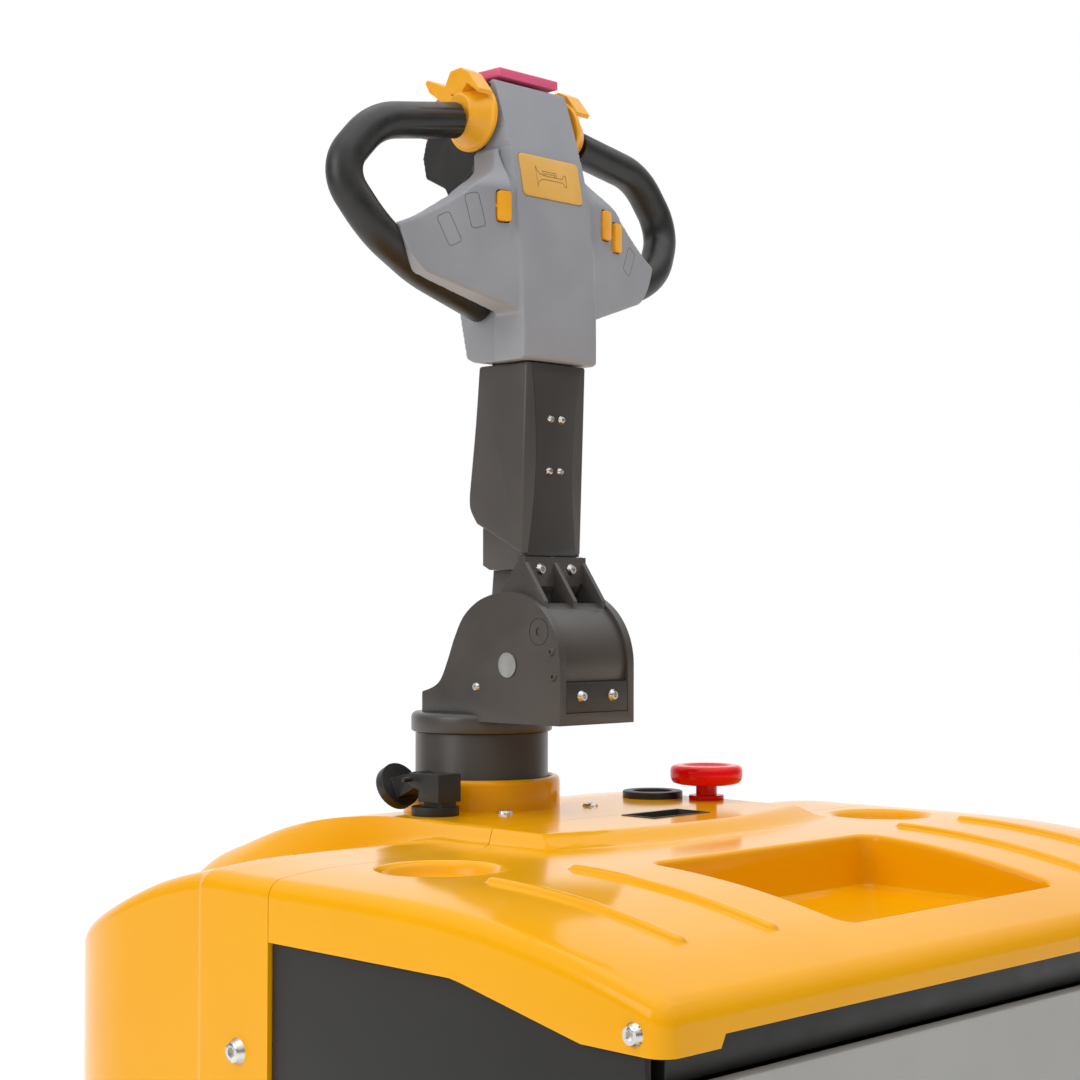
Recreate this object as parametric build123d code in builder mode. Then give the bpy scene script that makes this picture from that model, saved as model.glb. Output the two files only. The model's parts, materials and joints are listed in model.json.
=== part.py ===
from build123d import *
from math import asin, cos, radians, sin
import os

# Electric pallet truck, in millimetres. +X runs towards the fork tips, +Z up, and the operator
# walks at -X. The frame's origin is on the floor under the middle of the truck's length and width.
# Every x below is measured forward from the steering axis, and the planes add steer_x.

# ---------------------------------------------------------------- overall sizes
body_width = 696.0            # over the covers and the side panels
rear_reach = 254.0            # steering axis back to the rear cover
front_face_x = 515.0          # steering axis forward to the cover's front lip
fork_length = 1150.0          # fork heel to tip
fork_gap_to_body = 5.0        # front plate to the fork heel
deck_top = 720.0              # flat top of the battery cover
lift_height = 120.0           # travel of the forks

# ---------------------------------------------------------------- covers
wall = 4.0                    # moulded cover wall
platform_top = 730.0          # raised instrument platform
seam_x = 168.0                # rear cover meets battery cover at the sides
seam_mid_x = 136.0            # the same seam across the platform
platform_left = 116.0         # raised platform, from the middle to its -Y edge
platform_right = 186.0        # and to its +Y edge
lip_bottom = 661.5            # lower edge of the battery cover at the front
side_bottom = 676.0           # lower edge of the battery cover along the sides
cover_skirt = 200.0           # lower edge of the rear cover
front_top = 686.0             # top of the cover at its front lip
slope_start_x = 300.0         # where the top begins to fall to the front
cup_spacing = 498.0           # between the centres of the two cups
cup_x = 226.0
cup_radius = 36.0
cup_depth = 14.0
tray_back_x = 302.0
tray_front_x = 467.0
tray_width = 248.0
tray_floor = 680.0
collar_inner = 58.5           # ring round the column
collar_outer = 65.5
collar_top = 755.0

# ---------------------------------------------------------------- steering column and tiller
column_radius = 55.5
column_top = 792.0
flange_radius = 59.0
flange_top = 802.5
pivot_x = 75.7                # tiller pivot, forward of the steering axis
pivot_z = 849.0
pin_radius = 10.0
pin_clearance = 0.05          # running fit, on the radius
bracket_half = 42.4           # half width over the bracket's cheeks
cheek = 7.2
root_half = 34.9              # half width of the tiller root casting
guard_radius = 56.0
guard_wall = 3.0
arm_half = 33.7
arm_top = 1092.0
head_bottom = 1093.0
head_top = 1328.0
grip_radius = 14.5
throttle_x = 40.0
throttle_z = 1294.0
throttle_shaft_radius = 7.0

# ---------------------------------------------------------------- running gear
drive_radius = 115.0
drive_width = 76.0
caster_radius = 50.0
caster_width = 40.0
caster_x = 10.0
caster_y = 256.0
caster_trail = 25.0
deck_z = 170.0                # underside of the chassis deck
deck_thickness = 8.0
turret_top = 270.0
plate = 8.0                   # chassis and fork steel plate
swivel_clearance = 0.05

# ---------------------------------------------------------------- forks
fork_width = 180.0
fork_spread = 560.0           # over the outer edges of the forks
fork_top = 85.0
fork_depth = 52.0
fork_wall = 6.0
load_radius = 37.0
load_width = 70.0
arm_length = 240.0            # load arm, pivot to roller axle
arm_pivot_z = 58.0
arm_pivot_from_tip = 170.0
axle_radius = 8.0
rod_radius = 7.0
lug_radius = 20.0             # push rod eye below the load arm's pivot

half = body_width / 2
heel_x = front_face_x + fork_gap_to_body
tip_x = heel_x + fork_length
steer_x = (rear_reach - tip_x) / 2
fork_y = (fork_spread - fork_width) / 2
os.makedirs("parts", exist_ok=True)


def level(z, x=0.0, y=0.0):
    """Horizontal plane at height z, its origin x forward of the steering axis."""
    return Plane(origin=(steer_x + x, y, z), x_dir=(1, 0, 0), z_dir=(0, 0, 1))


def upright(y, x=0.0, z=0.0):
    """Plane seen from the -Y side: local x runs forward, local y up, and its normal is -Y."""
    return Plane(origin=(steer_x + x, y, z), x_dir=(1, 0, 0), z_dir=(0, -1, 0))


def across(x, z=0.0, y=0.0):
    """Plane across the truck, seen from the forks: local x is +Y, local y up, and its normal is +X."""
    return Plane(origin=(steer_x + x, y, z), x_dir=(0, 1, 0), z_dir=(1, 0, 0))


def save(builder, name):
    """Label a finished piece and write its STEP file."""
    builder.part.label = name
    export_step(builder.part, f"parts/{name}.step")


def block(x0, x1, y0, y1, z0, z1, mode=Mode.ADD):
    """A plate or bar between two corners."""
    with BuildSketch(level(z0, (x0 + x1) / 2, (y0 + y1) / 2)) as foot:
        Rectangle(x1 - x0, y1 - y0)
    extrude(foot.sketch, amount=z1 - z0, mode=mode)


def disc(plane, radius, length, mode=Mode.ADD, inner=0.0):
    """A round bar, or a ring where inner is given, along the plane's normal."""
    with BuildSketch(plane) as foot:
        Circle(radius)
        if inner:
            Circle(inner, mode=Mode.SUBTRACT)
    extrude(foot.sketch, amount=length, mode=mode)


def slab(points, y_low, y_high, mode=Mode.ADD):
    """A side outline, in x and z, carried across from y_low to y_high."""
    with BuildSketch(upright(y_high)) as outline:
        with BuildLine():
            Polyline(*points, close=True)
        make_face()
    extrude(outline.sketch, amount=y_high - y_low, mode=mode)


def button_head(plane, radius, height):
    """A button-head screw with a hexagon socket, standing on a plane."""
    with BuildSketch(plane) as foot:
        Circle(radius)
    extrude(foot.sketch, amount=height, taper=28)
    with BuildSketch(plane.offset(height)) as socket:
        RegularPolygon(radius * 0.42, 6)
    extrude(socket.sketch, amount=-height * 0.6, mode=Mode.SUBTRACT)


def facing(x, y, z, direction):
    """A plane at a point forward of the steering axis, looking along direction."""
    return Plane(origin=(steer_x + x, y, z), z_dir=direction)


def sides():
    """Left (-Y) and right (+Y), with the names used for the nodes."""
    return (("left", -1), ("right", 1))


# ================================================================ chassis
bulkhead_rear_x = seam_x + 3
bulkhead_front_x = 440.0
front_plate_x = front_face_x - 12
front_plate_bottom = 335.0
front_plate_top = 635.0
inner_half = half - 19
skirt_bottom = 60.0
turret_inner = 96.0
turret_outer = 152.0
rail_y = 130.0
rail_lip = 22.0
rail_web = 5.0
rail_gap = 36.0
rail_x = bulkhead_front_x + plate + 4
rail_top = 575.0
cross_top = 80.0
deck_plate_top = deck_z + deck_thickness
stem_radius = 13.0


def mirrored_y(s, near, far):
    """The two y limits, in rising order, of a piece that lies from near to far on side s."""
    return (near, far) if s > 0 else (-far, -near)


with BuildPart() as chassis_frame:
    with BuildSketch(level(deck_z)):
        Circle(rear_reach - 30)
        with Locations((bulkhead_front_x / 2, 0)):
            Rectangle(bulkhead_front_x, 2 * inner_half)
        with Locations((caster_x - 40, 0)):
            Rectangle(100, 2 * inner_half - 20)
        Circle(turret_outer - plate, mode=Mode.SUBTRACT)
    extrude(amount=deck_thickness)
    disc(level(deck_z), turret_outer, turret_top - deck_z, inner=turret_outer - plate)
    disc(level(turret_top - plate), turret_outer, plate, inner=turret_inner)
    block(bulkhead_rear_x, bulkhead_rear_x + plate, -inner_half, inner_half, deck_z, side_bottom - 6)
    block(bulkhead_rear_x, bulkhead_rear_x + plate, -260, 260, side_bottom - 6, deck_top - wall)
    block(bulkhead_front_x, bulkhead_front_x + plate, -inner_half, inner_half, skirt_bottom, tray_floor - 12)
    block(bulkhead_front_x, front_plate_x, -inner_half, inner_half, skirt_bottom, cross_top)
    for _, s in sides():
        block(bulkhead_front_x, front_plate_x, *mirrored_y(s, inner_half - plate, inner_half),
              cross_top, front_plate_top)
        block(-60, bulkhead_front_x, *mirrored_y(s, inner_half - plate, inner_half), 100, deck_z)
        block(rail_x - 4, rail_x + rail_gap + 4, *mirrored_y(s, rail_y, rail_y + rail_web), cross_top, rail_top)
        for x in (rail_x - 4, rail_x + rail_gap):
            block(x, x + 4, *mirrored_y(s, rail_y - rail_lip, rail_y), cross_top, rail_top)
        disc(level(deck_z, caster_x, s * caster_y), stem_radius + swivel_clearance, deck_thickness,
             Mode.SUBTRACT)
save(chassis_frame, "chassis_frame")

# the fixed half of the steering ring, bolted on the turret plate
ring_outer = 130.0
ring_bore = 94.0
ring_height = 22.0
with BuildPart() as slewing_ring:
    disc(level(turret_top), ring_outer, ring_height, inner=ring_bore)
    with BuildSketch(level(turret_top + ring_height)):
        with PolarLocations(ring_outer - 14, 8):
            RegularPolygon(7, 6)
    extrude(amount=5)
save(slewing_ring, "slewing_ring")

# steel skirt round the wheels, with a flange that lies on the deck
skirt_wall = 6.0
with BuildPart() as rear_bumper:
    for low, high, depth in ((skirt_bottom, cover_skirt, skirt_wall),
                             (deck_plate_top, deck_plate_top + skirt_wall, 40.0)):
        with BuildSketch(level(low)):
            for inset, mode in ((1.0, Mode.ADD), (1.0 + depth, Mode.SUBTRACT)):
                with BuildLine():
                    side_y = half - inset
                    Polyline((0, side_y), (front_plate_x, side_y), (front_plate_x, -side_y), (0, -side_y))
                    EllipticalCenterArc((0, 0), rear_reach - inset, side_y, start_angle=90, arc_size=180)
                make_face(mode=mode)
            with Locations((front_plate_x, 0)):
                Rectangle(2 * skirt_wall, 2 * (half - 1 - depth), mode=Mode.SUBTRACT)
        extrude(amount=high - low)
    block(bulkhead_rear_x - 10, front_plate_x + 1, -inner_half - 12, inner_half + 12,
          deck_plate_top - 1, cover_skirt + 1, Mode.SUBTRACT)
save(rear_bumper, "rear_bumper")


# ================================================================ covers
def rear_outline(inset):
    """Plan of the rear cover: straight sides, an elliptical back, and the stepped front seam."""
    with BuildLine() as seam:
        side_y = half - inset
        Polyline((0, side_y), (seam_x, side_y), (seam_x, platform_right + 40), (seam_mid_x, platform_right),
                 (seam_mid_x, -platform_left), (seam_x, -platform_left - 40), (seam_x, -side_y), (0, -side_y))
        EllipticalCenterArc((0, 0), rear_reach - inset, side_y, start_angle=90, arc_size=180)
    make_face(seam.edges())


def shoulder_cut(s, inset, x_from, x_to):
    """Takes the rounded shoulder off one side of a cover."""
    top = deck_top - inset
    with BuildSketch(across(x_from)) as corner:
        with BuildLine():
            Polyline((s * (half - 70), top), (s * (half - 36), top - 4), (s * (half - 14), top - 12),
                     (s * (half - 1), top - 26), (s * (half + 12), top - 60), (s * (half + 12), top + 40),
                     (s * (half - 70), top + 40), close=True)
        make_face()
    extrude(corner.sketch, amount=x_to - x_from, mode=Mode.SUBTRACT)


def rear_block(inset):
    """The closed form of the rear cover, drawn in by inset on every side but the seam."""
    low = cover_skirt - (1 if inset else 0)
    top = platform_top - inset
    with BuildPart() as form:
        with BuildSketch(level(low)) as plan:
            rear_outline(inset)
        extrude(plan.sketch, amount=top - low)
        crown = [(-rear_reach - 10, low - 10), (-rear_reach - 10, 650 - inset), (-rear_reach + 26, 672 - inset),
                 (-173, 692 - inset), (-118, 710 - inset), (-62, 722 - inset), (0, top), (seam_x + 10, top),
                 (seam_x + 10, low - 10)]
        slab(crown, -half - 10, half + 10, mode=Mode.INTERSECT)
        slope = [(-rear_reach - 10, platform_top + 20), (-rear_reach - 10, 610 - inset), (-120, 652 - inset),
                 (-40, 680 - inset), (30, 706 - inset), (88, deck_top - inset),
                 (seam_x + 10, deck_top - inset), (seam_x + 10, platform_top + 20)]
        slab(slope, -half - 10, -platform_left - 12, mode=Mode.SUBTRACT)
        slab(slope, platform_right + 12, half + 10, mode=Mode.SUBTRACT)
        for _, s in sides():
            shoulder_cut(s, inset, -rear_reach - 20, seam_x + 10)
    return form.part


gauge_x = 57.0
gauge_y = 150.0
gauge_radius = 26.0
gauge_bore = 20.0
stop_x = 103.0
stop_y = 168.0
stop_stem = 9.0
cap_x = 36.0
cap_y = -84.0
with BuildPart() as rear_cover:
    add(rear_block(0))
    add(rear_block(wall), mode=Mode.SUBTRACT)
    disc(level(platform_top - wall), collar_outer, collar_top - platform_top + wall)
    disc(level(platform_top - 40), collar_inner, 90, mode=Mode.SUBTRACT)
    disc(level(platform_top - 40, gauge_x, gauge_y), gauge_bore, 60, mode=Mode.SUBTRACT)
    disc(level(platform_top - 40, stop_x, stop_y), stop_stem + 1, 60, mode=Mode.SUBTRACT)
    for _, s in sides():
        block(seam_x - 30, seam_x, *mirrored_y(s, 290, half - wall), 560, 566)
        block(seam_x - 1, bulkhead_rear_x, *mirrored_y(s, 290, 316), 560, 566)
save(rear_cover, "rear_cover")


def battery_plan(inset):
    """Plan of the battery cover, from the stepped seam to the front lip."""
    gap = 0.6
    side_y = half - inset
    with BuildLine() as edge:
        Polyline((seam_mid_x + gap, platform_right), (seam_x + gap, platform_right + 40), (seam_x + gap, side_y),
                 (front_face_x - inset - 14, side_y), (front_face_x - inset, side_y - 14),
                 (front_face_x - inset, -side_y + 14), (front_face_x - inset - 14, -side_y),
                 (seam_x + gap, -side_y), (seam_x + gap, -platform_left - 40),
                 (seam_mid_x + gap, -platform_left), close=True)
    make_face(edge.edges())


def battery_form(inset):
    """The closed form of the battery cover: flat top, falling to the front lip."""
    low = side_bottom - 24
    top = deck_top - inset
    with BuildPart() as form:
        with BuildSketch(level(low)) as plan:
            battery_plan(inset)
        extrude(plan.sketch, amount=top - low)
        with BuildSketch(upright(half + 10)) as profile:
            with BuildLine():
                fall = Spline((slope_start_x, top), (380, top - 6), (450, top - 18),
                              (front_face_x + 1, front_top - inset), tangents=((1, 0), (1, -0.22)))
                Polyline(fall @ 1, (front_face_x + 1, low - 1), (seam_mid_x - 10, low - 1),
                         (seam_mid_x - 10, top), fall @ 0)
            make_face()
        extrude(profile.sketch, amount=body_width + 20, mode=Mode.INTERSECT)
        for _, s in sides():
            shoulder_cut(s, inset, seam_mid_x - 10, front_face_x + 10)
    return form.part


def rib_solid(x0, x1, y, width, height):
    """A round-ended rib that follows the top of the cover and stands height above it."""
    with BuildPart() as rib:
        add(battery_form(0).moved(Location((0, 0, height))))
        with BuildSketch(level(side_bottom - 30)) as plan:
            with Locations(((x0 + x1) / 2, y)):
                SlotOverall(x1 - x0, width)
        extrude(plan.sketch, amount=100, mode=Mode.INTERSECT)
    return rib.part


rib_height = 3.0
rib_width = 11.0
rib_rows = ((266.0, 292.0, 458.0), (186.0, 288.0, 462.0))     # y, and where the rib starts and ends
tray_half = tray_width / 2
display_x0 = 143.0
display_x1 = 178.0
display_y0 = 18.0
display_y1 = 85.0
display_depth = 8.0
with BuildPart() as battery_cover:
    add(battery_form(0))
    for y, x0, x1 in rib_rows:
        for _, s in sides():
            add(rib_solid(x0, x1, s * y, rib_width, rib_height))
    # instrument platform, with a bowed and chamfered front
    with BuildSketch(level(deck_top - 1)):
        with BuildLine():
            ThreePointArc((218, -platform_left - 14), (247, 30), (214, platform_right + 8))
            Polyline((214, platform_right + 8), (seam_mid_x + 0.6, platform_right),
                     (seam_mid_x + 0.6, -platform_left), (218, -platform_left - 14))
        make_face()
    with BuildSketch(level(platform_top)):
        with BuildLine():
            ThreePointArc((197, -platform_left), (219, 30), (194, platform_right - 6))
            Polyline((194, platform_right - 6), (seam_mid_x + 0.6, platform_right - 8),
                     (seam_mid_x + 0.6, -platform_left + 8), (197, -platform_left))
        make_face()
    loft()
    add(battery_form(wall), mode=Mode.SUBTRACT)
    # lower edge: level along the sides, dropping to the front corners
    slab([(seam_mid_x - 1, 600), (seam_mid_x - 1, side_bottom), (347, side_bottom), (453, side_bottom - 22),
          (front_face_x + 1, side_bottom - 22), (front_face_x + 1, 600)], -half - 1, half + 1, Mode.SUBTRACT)
    block(460, front_face_x + 1, -300, 300, 600, lip_bottom, Mode.SUBTRACT)
    # tray
    block(tray_back_x - wall, tray_front_x + wall, -tray_half - wall, tray_half + wall,
          tray_floor - wall, deck_top - 24)
    block(tray_back_x - wall, tray_front_x - 70, -tray_half - wall, tray_half + wall,
          deck_top - 24, deck_top - 8)
    with BuildSketch(level(tray_floor)):
        with Locations(((tray_back_x + tray_front_x) / 2, 0)):
            RectangleRounded(tray_front_x - tray_back_x, tray_width, 12)
    extrude(amount=60, mode=Mode.SUBTRACT)
    # cups
    for _, s in sides():
        disc(level(deck_top - cup_depth - wall, cup_x, s * cup_spacing / 2), cup_radius + wall,
             cup_depth + wall - 1)
        disc(level(deck_top - cup_depth, cup_x, s * cup_spacing / 2), cup_radius, 40, mode=Mode.SUBTRACT)
    # display recess
    block(display_x0, display_x1, display_y0, display_y1, platform_top - display_depth, platform_top + 1,
          Mode.SUBTRACT)
save(battery_cover, "battery_cover")

# side panels, hooked on the two bulkheads
panel_wall = 5.0
panel_inset = 3.0
panel_face = half - panel_inset
for name, s in sides():
    with BuildPart() as side_panel:
        outline = [(seam_x + 0.6, cover_skirt), (seam_x + 0.6, side_bottom - 0.6), (347, side_bottom - 0.6),
                   (453, side_bottom - 22.6), (front_plate_x - 4, side_bottom - 22.6),
                   (front_plate_x - 4, cover_skirt)]
        slab(outline, *mirrored_y(s, panel_face - panel_wall, panel_face))
        for x in (bulkhead_rear_x, bulkhead_front_x):
            block(x, x + plate, *mirrored_y(s, inner_half, panel_face - panel_wall), cover_skirt + 20, 600)
    save(side_panel, f"side_panel_{name}")

with BuildPart() as front_plate:
    with BuildSketch(across(front_plate_x)):
        with Locations((0, (front_plate_bottom + front_plate_top) / 2)):
            RectangleRounded(2 * half - 8, front_plate_top - front_plate_bottom, 12)
    extrude(amount=front_face_x - front_plate_x)
save(front_plate, "front_plate")

with BuildPart() as lip_seal:
    block(bulkhead_front_x + plate + 24, front_plate_x - 4, -inner_half, inner_half, front_plate_top, lip_bottom)
save(lip_seal, "lip_seal")

# ---------------------------------------------------------------- instruments
bezel_height = 6.0
with BuildPart() as gauge_bezel:
    disc(level(platform_top, gauge_x, gauge_y), gauge_radius, bezel_height, inner=gauge_bore - 3)
    disc(level(platform_top - 30, gauge_x, gauge_y), gauge_bore - 0.2, 30, inner=gauge_bore - 3)
    disc(level(platform_top - 30, gauge_x, gauge_y), gauge_bore - 3, 3)
    fillet(gauge_bezel.edges().group_by(Axis.Z)[-1], 1.4)
save(gauge_bezel, "gauge_bezel")

display_frame_wall = 2.0
with BuildPart() as display_frame:
    block(display_x0, display_x1, display_y0, display_y1, platform_top - display_depth, platform_top + 0.8)
    block(display_x0 + display_frame_wall, display_x1 - display_frame_wall, display_y0 + display_frame_wall,
          display_y1 - display_frame_wall, platform_top - display_depth + 2, platform_top + 2, Mode.SUBTRACT)
save(display_frame, "display_frame")

with BuildPart() as instrument_glass:
    disc(level(platform_top + 1.5, gauge_x, gauge_y), gauge_bore - 3, 2)
    block(display_x0 + display_frame_wall, display_x1 - display_frame_wall, display_y0 + display_frame_wall,
          display_y1 - display_frame_wall, platform_top - display_depth + 2, platform_top - display_depth + 4)
save(instrument_glass, "instrument_glass")

# ---------------------------------------------------------------- emergency stop
stop_travel = 6.0
stop_well = 20.0
stop_head_radius = 31.0
stop_head_bottom = 743.0
stop_head_top = 759.5
stop_collar = 15.0
with BuildPart() as stop_base:
    disc(level(platform_top, stop_x, stop_y), stop_collar, 4, inner=stop_stem + swivel_clearance)
    disc(level(platform_top - 34, stop_x, stop_y), stop_stem + 0.9, 34, inner=stop_stem - 2)
    disc(level(platform_top - stop_well, stop_x, stop_y), stop_stem + swivel_clearance, 24, Mode.SUBTRACT)
save(stop_base, "stop_base")

with BuildPart() as stop_button:
    with BuildSketch(upright(stop_y)):
        with BuildLine():
            stem_foot = platform_top - stop_well + stop_travel + 2
            Polyline((stop_x, stem_foot), (stop_x + stop_stem, stem_foot),
                     (stop_x + stop_stem, stop_head_bottom), (stop_x + stop_head_radius - 6, stop_head_bottom),
                     (stop_x + stop_head_radius, stop_head_bottom + 4),
                     (stop_x + stop_head_radius, stop_head_top - 5),
                     (stop_x + stop_head_radius - 3, stop_head_top - 1), (stop_x + 22, stop_head_top),
                     (stop_x + 18, stop_head_top - 2), (stop_x, stop_head_top - 2), close=True)
        make_face()
    revolve(axis=Axis((steer_x + stop_x, stop_y, 0), (0, 0, 1)))
save(stop_button, "stop_button")

# ---------------------------------------------------------------- charging socket and its hinged cap
socket_radius = 19.0
hinge_x = 20.0
hinge_z = 758.0
cap_pin = 2.0
with BuildPart() as charge_socket:
    disc(level(platform_top, cap_x, cap_y), socket_radius, 7)
    block(31, 52, cap_y - 8, cap_y + 8, platform_top + 7, 742)
    slab([(29, 741), (53, 741), (53, 763), (30, 763)], cap_y - 12, cap_y + 12)
    for y0, y1 in ((cap_y - 12, cap_y - 8.3), (cap_y + 8.3, cap_y + 12)):
        slab([(30, 750), (30, 763), (18, 763), (15, 758), (18, 753)], y0, y1)
    disc(upright(cap_y + 20, hinge_x, hinge_z), cap_pin, 40)
save(charge_socket, "charge_socket")

cap_angle = 62.0              # lean of the cap's disc from level, hanging open at rest
with BuildPart() as hinged_cap:
    disc(upright(cap_y + 8, hinge_x, hinge_z), 6, 16)
    slab([(19, 763), (24, 759), (23, 752), (-2, 741), (-11, 757)], cap_y - 8, cap_y + 8)
    tilt = Plane(origin=(steer_x - 6, cap_y, 752), x_dir=(0, 1, 0),
                 z_dir=(-sin(radians(cap_angle)), 0, -cos(radians(cap_angle))))
    disc(tilt, 18.7, 8.5)
    disc(tilt, 3, 13)
    disc(upright(cap_y + 8, hinge_x, hinge_z), cap_pin + swivel_clearance, 16, Mode.SUBTRACT)
save(hinged_cap, "hinged_cap")

# stainless button-head screws of the covers: platform, shoulders, pillars and front corners
with BuildPart() as cover_screws:
    for x, y, z in ((67, -37, platform_top), (73, 55, platform_top)):
        button_head(level(z, x, y), 7, 2.4)
    for _, s in sides():
        button_head(facing(135, s * half, 600, (0, s, 0)), 9, 5)
        button_head(facing(front_face_x - 22, s * half, 665, (0, s, 0)), 7, 3.4)
save(cover_screws, "cover_screws")

# ================================================================ power pack
nut_pocket = 24.0             # room over each caster's nut
with BuildPart() as battery:
    block(188, 430, -300, 300, deck_plate_top, 640)
    for y in (-220, 220):
        block(220, 400, y - 14, y + 14, 640, 656)
    for y in (-90, 90):
        disc(level(640, 250, y), 14, 22)
save(battery, "battery")

with BuildPart() as motor_controller:
    block(-30, 150, 175, 300, deck_plate_top, 210)
    disc(level(deck_plate_top - 1, caster_x, caster_y), nut_pocket, 15, Mode.SUBTRACT)
    for i in range(9):
        block(-24 + i * 20, -18 + i * 20, 178, 297, 210, 240)
    block(-30, 150, 175, 300, 240, 330)
save(motor_controller, "motor_controller")

pump_y = -236.0
pump_z = 262.0
with BuildPart() as pump_unit:
    block(-60, 150, pump_y - 50, pump_y + 50, deck_plate_top, 192)
    disc(level(deck_plate_top - 1, caster_x, -caster_y), nut_pocket, 15, Mode.SUBTRACT)
    for x in (-40, 100):
        block(x, x + 14, pump_y - 40, pump_y + 40, 192, pump_z)
    disc(across(-60, pump_z, pump_y), 48, 120)
    block(60, 104, pump_y - 34, pump_y + 34, pump_z - 40, pump_z + 44)
    disc(across(104, pump_z, pump_y), 44, 46)
save(pump_unit, "pump_unit")

# ================================================================ drive unit, turning under the ring
spigot_radius = ring_bore - swivel_clearance
crown_bottom = 240.0
motor_radius = 78.0
motor_top = 430.0
cheek_gap = 5.0
wheel_half = drive_width / 2
axle_drive = 16.0
with BuildPart() as drive_housing:
    disc(level(crown_bottom), spigot_radius, turret_top + ring_height + 8 - crown_bottom)
    for y0, y1 in ((-wheel_half - cheek_gap - 40, -wheel_half - cheek_gap),
                   (wheel_half + cheek_gap, wheel_half + cheek_gap + 14)):
        slab([(-52, crown_bottom), (52, crown_bottom), (46, 110), (30, 78), (-30, 78), (-46, 110)], y0, y1)
        disc(upright(y1 + 1, 0, drive_radius), axle_drive + swivel_clearance, y1 - y0 + 2,
             mode=Mode.SUBTRACT)
save(drive_housing, "drive_housing")

housing_top = turret_top + ring_height + 8
with BuildPart() as drive_motor:
    disc(level(housing_top), motor_radius, motor_top - housing_top)
    with BuildSketch(level(housing_top + 20)):
        with PolarLocations(motor_radius, 18):
            Rectangle(8, 3)
    extrude(amount=motor_top - housing_top - 40)
save(drive_motor, "drive_motor")

hub_radius = 84.0
with BuildPart() as drive_tyre:
    disc(upright(wheel_half, 0, drive_radius), drive_radius, drive_width, inner=hub_radius)
    chamfer(drive_tyre.edges().filter_by(GeomType.CIRCLE).sort_by(lambda e: e.radius)[-2:], 5)
save(drive_tyre, "drive_tyre")

with BuildPart() as drive_hub:
    disc(upright(wheel_half - 4, 0, drive_radius), hub_radius, drive_width - 8)
    disc(upright(wheel_half - 3, 0, drive_radius), 62, 16, mode=Mode.SUBTRACT, inner=34)
    disc(upright(wheel_half + cheek_gap + 20, 0, drive_radius), axle_drive,
         drive_width + 2 * cheek_gap + 20 + 46)
    disc(upright(-wheel_half - cheek_gap - 40.4, 0, drive_radius), 24, 6)
save(drive_hub, "drive_hub")

# ================================================================ steering column
bell_radius = motor_radius
bell_top = 500.0
tube_wall = 7.0
with BuildPart() as column_tube:
    with BuildSketch(upright(0)):
        with BuildLine():
            Polyline((0, motor_top), (bell_radius, motor_top), (bell_radius, motor_top + 16),
                     (column_radius, bell_top), (column_radius, column_top),
                     (column_radius - tube_wall, column_top), (column_radius - tube_wall, bell_top),
                     (bell_radius - 10, motor_top + 12), (0, motor_top + 12), close=True)
        make_face()
    revolve(axis=Axis((steer_x, 0, 0), (0, 0, 1)))
save(column_tube, "column_tube")

with BuildPart() as column_flange:
    disc(level(column_top), flange_radius, flange_top - column_top)
save(column_flange, "column_flange")

bracket_front = 134.0
bracket_round = 58.5
base_top = 812.0
bracket_rear = -27.4
with BuildPart() as tiller_bracket:
    for _, s in sides():
        y0, y1 = mirrored_y(s, bracket_half - cheek, bracket_half)
        slab([(bracket_rear, flange_top), (bracket_front, flange_top), (bracket_front, pivot_z),
              (pivot_x, pivot_z + bracket_round), (67, 907.7), (38, 901), (21.6, 890), (11.6, 872), (5, 858),
              (-7, 835.6), (-26, 824.8)], y0, y1)
        disc(upright(y1, pivot_x, pivot_z), bracket_round, y1 - y0)
        block(0, bracket_front, y0, y1, flange_top - 20, flange_top, Mode.SUBTRACT)
        disc(upright(y1 + 1, pivot_x, pivot_z), pin_radius + pin_clearance, y1 - y0 + 2, mode=Mode.SUBTRACT)
    block(bracket_rear, bracket_front, -bracket_half, bracket_half, flange_top, base_top)
    block(bracket_rear, bracket_rear + 6, -bracket_half, bracket_half, base_top, 818)
save(tiller_bracket, "tiller_bracket")

window_plate_wall = 2.0
with BuildPart() as window_plate:
    block(bracket_front - window_plate_wall, bracket_front, -root_half, root_half, base_top + 0.4, 836)
save(window_plate, "window_plate")

with BuildPart() as pivot_pin:
    disc(upright(bracket_half + 3, pivot_x, pivot_z), pin_radius, 2 * bracket_half + 4)
    disc(upright(bracket_half + 3, pivot_x, pivot_z), pin_radius + 4, 2.6)
save(pivot_pin, "pivot_pin")

with BuildPart() as bracket_screws:
    for _, s in sides():
        button_head(facing(bracket_front, s * 17.6, 825, (1, 0, 0)), 4.8, 3)
        for x, z in ((124.9, 860.2), (127.3, 840.8), (38.8, 830.6)):
            button_head(facing(x, s * bracket_half, z, (0, s, 0)), 3.6, 1.5)
save(bracket_screws, "bracket_screws")

# ================================================================ tiller arm
lean = 6.7 / 157              # forward lean of the arm's front face
arm_low = 935.0
front_x = 82.3


def arm_front(z):
    """How far forward the arm's front face stands at height z."""
    return front_x + (z - arm_low) * lean


def guard_point(angle, radius):
    """A point on the guard, at an angle above the pivot's horizontal."""
    return (pivot_x + radius * cos(radians(angle)), pivot_z + radius * sin(radians(angle)))


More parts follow.
